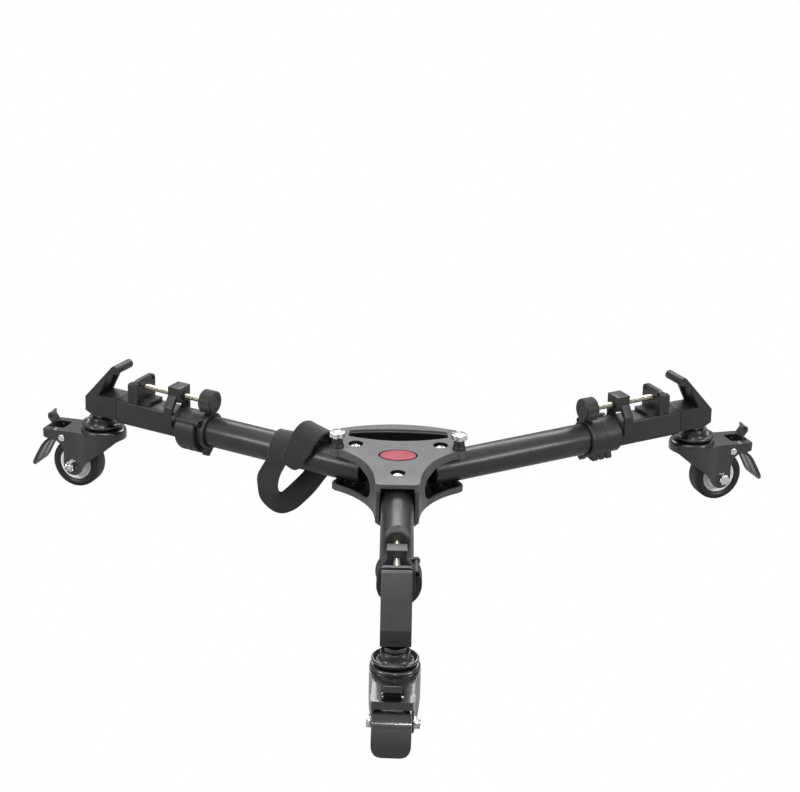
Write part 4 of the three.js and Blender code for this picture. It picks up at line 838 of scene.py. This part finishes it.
def fork_mesh():
    """Pressed fork: a skirt with two cheeks, a sloped roof, a raised crown and the brake's window."""
    top = [(-30, 61.9), (17, 61.9), (60, 59.0)]
    front = [(60, 54.2), (57.5, 51.3), (54, 50.2), (43, 49.6), (37.6, 45.6), (34.8, 39.5), (34.4, 25.5)]
    foot = bezier(front[-1], (34.4, 15.4), (23.8, 15.6), 10)
    foot += bezier((23.8, 15.6), (16.8, 16.0), (12.6, 24.8), 10)
    rear = [(8.2, 31.4), (-2.0, 40.4), (-10, 46.0), (-17.4, 52.4), (-21.5, 56.4), (-30, 57.6)]
    side = prism(soften(top + front + foot + rear, 2.2, 4), -FORK_CUT_W, FORK_CUT_W, "Y")
    shell = boolean(prism(fork_plan(), 10, 63), side, operation="INTERSECT")
    under_roof = prism([(-30, 0), (60, 0), (60, 56.9), (17, 59.7), (-30, 59.7)], -FORK_CUT_W, FORK_CUT_W, "Y")
    body = boolean(shell, boolean(prism(fork_plan(2.2), -5, 60.5), under_roof, operation="INTERSECT"))
    dome = [(0, 60.4), (21.2, 60.4), (21.2, 63.2), (20.9, 64.6), (20.0, 65.7), (18.6, 66.1), (0, 66.1)]
    crown = turned(dome, 128, 0.6)
    for vertex in crown.vertices:
        vertex.co.x *= 1.15 if vertex.co.x < 0 else 1
    body = boolean(body, crown, operation="UNION")
    window = prism(rounded_rect(38.5, 56.7, -9.2, 9.2, 3.0, 3.0), 40, 75)
    body = boolean(body, rod(8.1, 50, 61.6, soft=0), rod(4.8, 50, 70, soft=0), window,
                   rod(3.3, -30, 30, "Y", AXLE, soft=0))
    return bevelled(body, 0.7, 3, 35)


def rivets_mesh():
    """Pin of the pedal with its two heads outside the cheeks."""
    x, z = RIVET
    parts = []
    for side in (-1, 1):
        head = turned([(0, 0), (3.5, 0), (3.5, 0.35), (2.9, 1.0), (1.8, 1.35), (0, 1.5)], 64, 0.2)
        place = Matrix.Translation((x, side * 17.35, z))
        head.transform(place @ Matrix.Rotation(-side * pi / 2, 4, "X"))
        parts.append(head)
    return merge(*parts, rod(2, -17.4, 17.4, "Y", (x, 0, z), soft=0))


def tyre_mesh():
    half = [(17.3, 8.4), (17.9, 9.2), (19.2, 9.7), (20.0, 10.0), (21.4, 10.1), (21.9, 9.8), (22.5, 9.8),
            (23.7, 9.1), (24.5, 7.9), (24.9, 6.2)]
    profile = [(r, -h) for r, h in half] + [(25, -4), (25, 4)] + [(r, h) for r, h in reversed(half)]
    return lathe(profile, "Y", AXLE, 160, 0.5)


def disc_mesh():
    """Wheel centre: rim bead, dished web and a stepped boss."""
    half = [(3.3, 14.9), (5.6, 14.9), (6.5, 14.3), (6.7, 8.0), (7.4, 6.9), (8.6, 6.4), (12.4, 6.2),
            (13.4, 6.7), (14.0, 7.7), (15.2, 8.4), (16.6, 8.5), (17, 8.1)]
    profile = [(r, -h) for r, h in half] + [(r, h) for r, h in reversed(half)]
    return lathe(profile, "Y", AXLE, 128, 0.4)


def axle_mesh():
    """Bolt through the wheel: a slotted castle nut on one side, a plain head on the other."""
    nut = rod(5.2, 17.7, 22.4, "Y", sides=6, soft=0)
    for k in range(3):
        slit = box_mesh(-8, 8, 20.6, 26, -0.85, 0.85)
        slit.transform(Matrix.Rotation(radians(60 * k + 30), 4, "Y"))
        nut = boolean(nut, slit)
    nut = boolean(bevelled(nut, 0.4, 2), rod(3.1, 20.2, 26, "Y", sides=40, soft=0))
    tip = turned([(0, 17.7), (2.9, 17.7), (2.9, 22.3), (2.4, 22.9), (0, 22.9)], 40, 0.3, "Y")
    head = bevelled(rod(5.6, -21.9, -17.7, "Y", sides=6, soft=0), 0.6, 3)
    shaft = rod(3, -19.7, 19.7, "Y", sides=40, soft=0)
    whole = merge(nut, tip, head, shaft)
    whole.transform(Matrix.Translation(AXLE))
    return whole


def pedal_leaf():
    """The pedal's leaf: a curved plate with a raised frame, long ribs and a rounded tip."""
    line = [(48.0, 50.4)] + bezier((48.0, 50.4), (56.6, 45.6), (61.0, 36.5), 20)
    line += bezier((61.0, 36.5), (66.4, 27), (71.4, 15.4), 28)
    across, total = 88, len(line) - 1
    half_w, root_inset, leaf_t, tip_from = 16.5, 4.0, 1.9, 0.72
    bm = bmesh.new()
    tops, bottoms = [], []
    for i, (x, z) in enumerate(line):
        share = i / total
        along = direction_at(line, i)
        normal = Vector((along.y, -along.x))
        half = half_w - root_inset * (1 - min(share / 0.3, 1)) ** 2
        tip = max(0.0, (share - tip_from) / (1 - tip_from))
        half *= sqrt(max(0.0, 1 - tip ** 2.8)) * 0.5 + 0.5 if tip else 1
        top, bottom = [], []
        for k in range(across + 1):
            u = -1 + 2 * k / across
            lift = leaf_lift(u, share)
            top.append(bm.verts.new((x + normal.x * lift, u * half, z + normal.y * lift)))
            bottom.append(bm.verts.new((x - normal.x * leaf_t, u * half * 0.985, z - normal.y * leaf_t)))
        tops.append(top)
        bottoms.append(bottom)
    join_sheets(bm, tops, bottoms)
    return finished(bm)


def leaf_lift(u, share):
    """Height of the leaf's frame and ribs, from -1 to 1 across it and 0 to 1 along it."""
    inset = min(1 - abs(u), (1 - share) * 1.5, share * 1.8 + 0.1)
    edge = 0.9 / (1 + exp((inset - 0.2) * 60))
    ribs = 0.7 * max(0.0, cos(u * 2.6 * pi)) ** 6 if inset > 0.22 and share > 0.3 else 0.0
    roll = 1.0 * (1 - min(1.0, (1 - abs(u)) * 11)) ** 2 + 0.9 * (1 - min(1.0, (1 - share) * 14)) ** 2
    return edge + ribs - roll


def pedal_mesh():
    """Pedal: the leaf, its two ears on the rivet, and the release tab that stands up through the window."""
    x, z = RIVET
    outer, inner = 12.5, 10.3
    ear = soften([(x - 3.5, z), (x - 1.8, z + 3.5), (x + 4, z + 3.4), (51.5, 53.8), (52.5, 47.6),
                  (48.4, 46.4), (x + 4.5, z - 2.2), (x, z - 3.5)], 2.0, 4)
    parts = [pedal_leaf()]
    for low, high in ((-outer, -inner), (inner, outer)):
        drilled = boolean(prism(ear, low, high, "Y"), rod(2.3, -20, 20, "Y", (x, 0, z), soft=0))
        parts.append(bevelled(drilled, 0.35, 2, 35))
    bridge = soften([(47.6, 47.2), (51.2, 48), (52.5, 53.8), (50.1, 53.8)], 0.6, 3)
    tab = soften([(50.2, 51), (52.2, 51), (52.9, 59.5), (53.5, 63.0), (57.8, 67.8), (57.0, 73.0),
                  (55.0, 72.4), (55.6, 68.4), (51.8, 63.9), (50.9, 59.8)], 1.6, 5)
    parts.append(bevelled(prism(bridge, -outer, outer, "Y"), 0.35, 2, 35))
    parts.append(bevelled(prism(tab, -7.4, 7.4, "Y"), 0.5, 3, 35))
    return merge(*parts)


# The band's two edges from its free end: distance along the leg, across it and height, of one and the other
STRAP_EDGES = [
    (107.3, 20, 79, 91.7, 20, 81.7), (115, 19.6, 88, 89, 19.4, 92), (112, 17.6, 100, 85, 18, 98),
    (107, 12, 115, 80.5, 13, 110), (102.9, 2, 122.2, 77, 2, 116), (100.5, -11, 117.5, 75, -10.5, 111.5),
    (100, -18, 101, 75.3, -18, 95.5), (103, -19, 80, 79, -19, 76), (111.5, -16, 65, 90, -17.6, 60),
    (117, -8, 56.5, 97.5, -13, 47.5), (122, -3, 50, 106.5, -8.5, 36), (125, -0.5, 46.5, 116, -5.5, 26.5),
    (126.7, 0.8, 44.8, 128.5, -3, 20.5), (127.8, 2.6, 45.2, 139.5, -0.4, 22.8),
    (128, 4.4, 47.2, 149.6, 2.4, 33), (126.6, 8, 54, 150.4, 6.4, 47.5), (121, 13, 67, 146.8, 12.4, 62),
    (113, 17.2, 80, 138.2, 17, 75.5), (108.4, 18, 89.5, 132.2, 18, 86),
    (109.5, 14.2, 101.5, 131.5, 14.4, 98.5), (111.5, 6, 107.2, 132, 6.4, 105.4),
    (112, -4, 107, 132, -4, 106), (110, -13, 101, 131, -13, 99.5), (108.4, -17.4, 90, 130, -17.4, 88),
    (107.5, -16, 80, 129, -16, 78),
]


def smooth_line(rows):
    """Points on a smooth curve through the rows."""
    steps = 8
    points = [Vector(row) for row in rows]
    padded = [points[0] * 2 - points[1], *points, points[-1] * 2 - points[-2]]
    fine = []
    for a, b, c, d in zip(padded, padded[1:], padded[2:], padded[3:]):
        square, cube = 2 * a - 5 * b + 4 * c - d, 3 * b - a - 3 * c + d
        for t in (k / steps for k in range(steps)):
            fine.append(0.5 * (2 * b + (c - a) * t + square * t ** 2 + cube * t ** 3))
    fine.append(points[-1])
    return fine


def strap_mesh():
    """Ribbon between two smooth edges, with thicker borders and a rounded free end."""
    edges = [smooth_line([row[:3] for row in STRAP_EDGES]), smooth_line([row[3:] for row in STRAP_EDGES])]
    middle = [(a + b) / 2 for a, b in zip(*edges)]
    across, end_l = 24, 9
    hem_from, hem, rim = 0.8, 1.25, 0.35
    bm = bmesh.new()
    fronts, backs = [], []
    travelled = 0.0
    for i, (a, b) in enumerate(zip(*edges)):
        normal = direction_at(middle, i).cross((b - a).normalized()).normalized()
        travelled += (middle[i] - middle[max(i - 1, 0)]).length
        spread = 1.0
        if travelled < end_l:
            spread = sqrt(max(1 - (1 - travelled / end_l) ** 2.4, 0.02))
        front, back = [], []
        for k in range(across + 1):
            u = -1 + 2 * k / across
            at = middle[i] + (b - a) / 2 * u * spread
            thick = STRAP_T / 2 * (hem if abs(u) >= hem_from else 1) * (rim if k in (0, across) else 1)
            front.append(bm.verts.new(at + normal * thick))
            back.append(bm.verts.new(at - normal * thick))
        fronts.append(front)
        backs.append(back)
    join_sheets(bm, fronts, backs)
    return finished(bm)


def build_leg(leg):
    """Puts one leg's pieces in place; tube and collar fold with the leg, the rest rides further out."""
    arm, caster = arm_frame(leg), caster_frame(leg)
    swivel = arm @ Matrix.Translation((SWIVEL_R, 0, 0))
    carrier = "hub" if leg == "front" else f"leg_{leg}"
    rail, fork, wheel, knob = (f"{body}_{leg}" for body in ("rail", "fork", "wheel", "knob"))
    for name, place, material, body, replaced in (
            ("tube", arm, TUBE, carrier, "leg_tube"), ("collar", arm, PLASTIC, carrier, "lock_collar"),
            ("lever", arm, PLASTIC, f"lever_{leg}", "lock_lever"), ("inner", arm, STEEL, rail, "inner_tube"),
            ("rail", arm, CAST, rail, "saddle_rail"), ("bracket", arm, CAST, rail, "end_bracket"),
            ("yoke", arm, CAST, rail, "clamp_yoke"), ("jaw", arm, CAST, f"jaw_{leg}", "clamp_jaw"),
            ("screw", arm, ROD, knob, "clamp_screw"), ("knob", arm, PLASTIC, knob, "clamp_knob"),
            ("race", swivel, GLOSS, rail, "swivel_race"), ("fork", caster, GLOSS, fork, "caster_fork"),
            ("rivets", caster, CHROME, fork, ""), ("tyre", caster, RUBBER, wheel, "wheel_tyre"),
            ("disc", caster, DISC, wheel, "wheel_hub"), ("axle", caster, CHROME, fork, "axle_bolt"),
            ("pedal", caster, GLOSS, f"pedal_{leg}", "brake_pedal")):
        nodes = [f"{replaced}_{leg}"] if replaced else []
        piece(f"{name}_{leg}", SHAPES[name], place, material, body, nodes)


def build_strap():
    """The strap as a draped sheet riding on the left leg."""
    band = piece("band", strap_mesh(), arm_frame("left"), WEBBING, "leg_left", ["strap"])
    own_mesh(band)


SHAPES = {"tube": tube_mesh(), "collar": collar_mesh(), "lever": lever_mesh(),
          "inner": inner_tube_mesh(), "rail": rail_mesh(), "bracket": bracket_mesh(),
          "yoke": yoke_mesh(), "jaw": jaw_mesh(), "screw": screw_mesh(), "knob": knob_mesh(),
          "race": race_mesh(), "fork": fork_mesh(), "rivets": rivets_mesh(), "tyre": tyre_mesh(),
          "disc": disc_mesh(), "axle": axle_mesh(), "pedal": pedal_mesh()}
build_hub()
for leg_name in LEGS:
    build_leg(leg_name)
build_strap()


def set_camera():
    """The photograph's camera, fitted to points measured in it."""
    azimuth, elevation, roll = (radians(v) for v in (-0.22, 21.34, 1.24))
    distance, focal, photo_w = 2679.94, 2875.41, 800
    aim_across, aim_up, aim_z = 2.6, 92.98, 70
    level = cos(elevation)
    back = Vector((sin(azimuth) * level, -cos(azimuth) * level, sin(elevation)))
    right = (-back).cross(Vector((0, 0, 1))).normalized()
    up = right.cross(-back)
    across = cos(roll) * right + sin(roll) * up
    upward = -sin(roll) * right + cos(roll) * up
    target = Vector((0, HUB_Y, aim_z)) + aim_across * across + aim_up * upward
    data = bpy.data.cameras.new("camera")
    data.sensor_width = 36
    data.lens = focal * data.sensor_width / photo_w
    data.clip_start = 0.05
    camera = bpy.data.objects.new("camera", data)
    rotation = Matrix((across, upward, back)).transposed()
    camera.matrix_world = Matrix.Translation((target + back * distance) * MM) @ rotation.to_4x4()
    scene.collection.objects.link(camera)
    scene.camera = camera


def area_light(name, place, target, size, energy, size_y=None):
    data = bpy.data.lights.new(name, "AREA")
    data.shape = "RECTANGLE"
    data.size = size
    data.size_y = size_y or size
    data.energy = energy
    light = bpy.data.objects.new(name, data)
    light.location = place
    light.rotation_euler = (Vector(target) - Vector(place)).to_track_quat("-Z", "Y").to_euler()
    scene.collection.objects.link(light)


def white_to_camera(tree, kind, others, output):
    """Sends plain white to the camera and another shader to everything else."""
    white = node(tree, kind, Strength=1.0, Color=(1, 1, 1, 1))
    path = tree.nodes.new("ShaderNodeLightPath")
    mix = tree.nodes.new("ShaderNodeMixShader")
    tree.links.new(path.outputs["Is Camera Ray"], mix.inputs[0])
    tree.links.new(others, mix.inputs[1])
    tree.links.new(white.outputs[0], mix.inputs[2])
    tree.links.new(mix.outputs[0], output.inputs[0])


def set_world():
    """White behind the object, and a softer grey studio all round for its light and reflections."""
    world = bpy.data.worlds.new("studio")
    scene.world = world
    world.use_nodes = True
    tree = world.node_tree
    tree.nodes.clear()
    coords = tree.nodes.new("ShaderNodeTexCoord")
    split = tree.nodes.new("ShaderNodeSeparateXYZ")
    tree.links.new(coords.outputs["Generated"], split.inputs[0])
    studio = tree.nodes.new("ShaderNodeBackground")
    tree.links.new(remap(tree, split.outputs["Z"], -0.1, 0.9, 0.07, 0.9), studio.inputs["Strength"])
    white_to_camera(tree, "ShaderNodeBackground", studio.outputs[0], tree.nodes.new("ShaderNodeOutputWorld"))


def set_floor():
    """A pale floor that the camera sees as plain white, just below the wheels."""
    half_size, drop = 6, 0.0005
    bm = bmesh.new()
    bmesh.ops.create_grid(bm, x_segments=1, y_segments=1, size=half_size)
    mesh = to_mesh(bm)
    floor = bpy.data.objects.new("floor", mesh)
    floor.location.z = -drop
    material, tree, shader, coords = new_material("floor")
    tree.links.new(remap(tree, noise(tree, coords, 3, 2), 0.3, 0.7, 0.78, 0.82), shader.inputs["Roughness"])
    shader.inputs["Base Color"].default_value = (0.35, 0.35, 0.35, 1)
    shader.inputs["Specular IOR Level"].default_value = 0.0
    white_to_camera(tree, "ShaderNodeEmission", shader.outputs[0], tree.nodes["Material Output"])
    mesh.materials.append(material)
    scene.collection.objects.link(floor)


set_camera()
set_world()
set_floor()
for light in (("key", (-0.2, -0.1, 2.1), (0, 0.05, 0.05), 1.3, 26),
              ("back", (0.2, 1.5, 1.3), (0, 0.05, 0.08), 1.8, 18, 0.7),
              ("left", (-1.9, -0.9, 1.0), (-0.1, 0.05, 0.06), 0.8, 15, 0.45),
              ("right", (1.9, -0.9, 1.0), (0.1, 0.05, 0.06), 0.8, 15, 0.45),
              ("glint_middle", (0.0, -2.1, 1.4), (0, 0.0, 0.06), 0.26, 3.0, 0.08),
              ("glint_left", (-1.5, -1.7, 1.5), (-0.2, 0.05, 0.06), 0.26, 3.0, 0.08),
              ("glint_right", (1.5, -1.7, 1.5), (0.2, 0.05, 0.06), 0.26, 3.0, 0.08)):
    area_light(*light)
scene.view_settings.view_transform = "Standard"
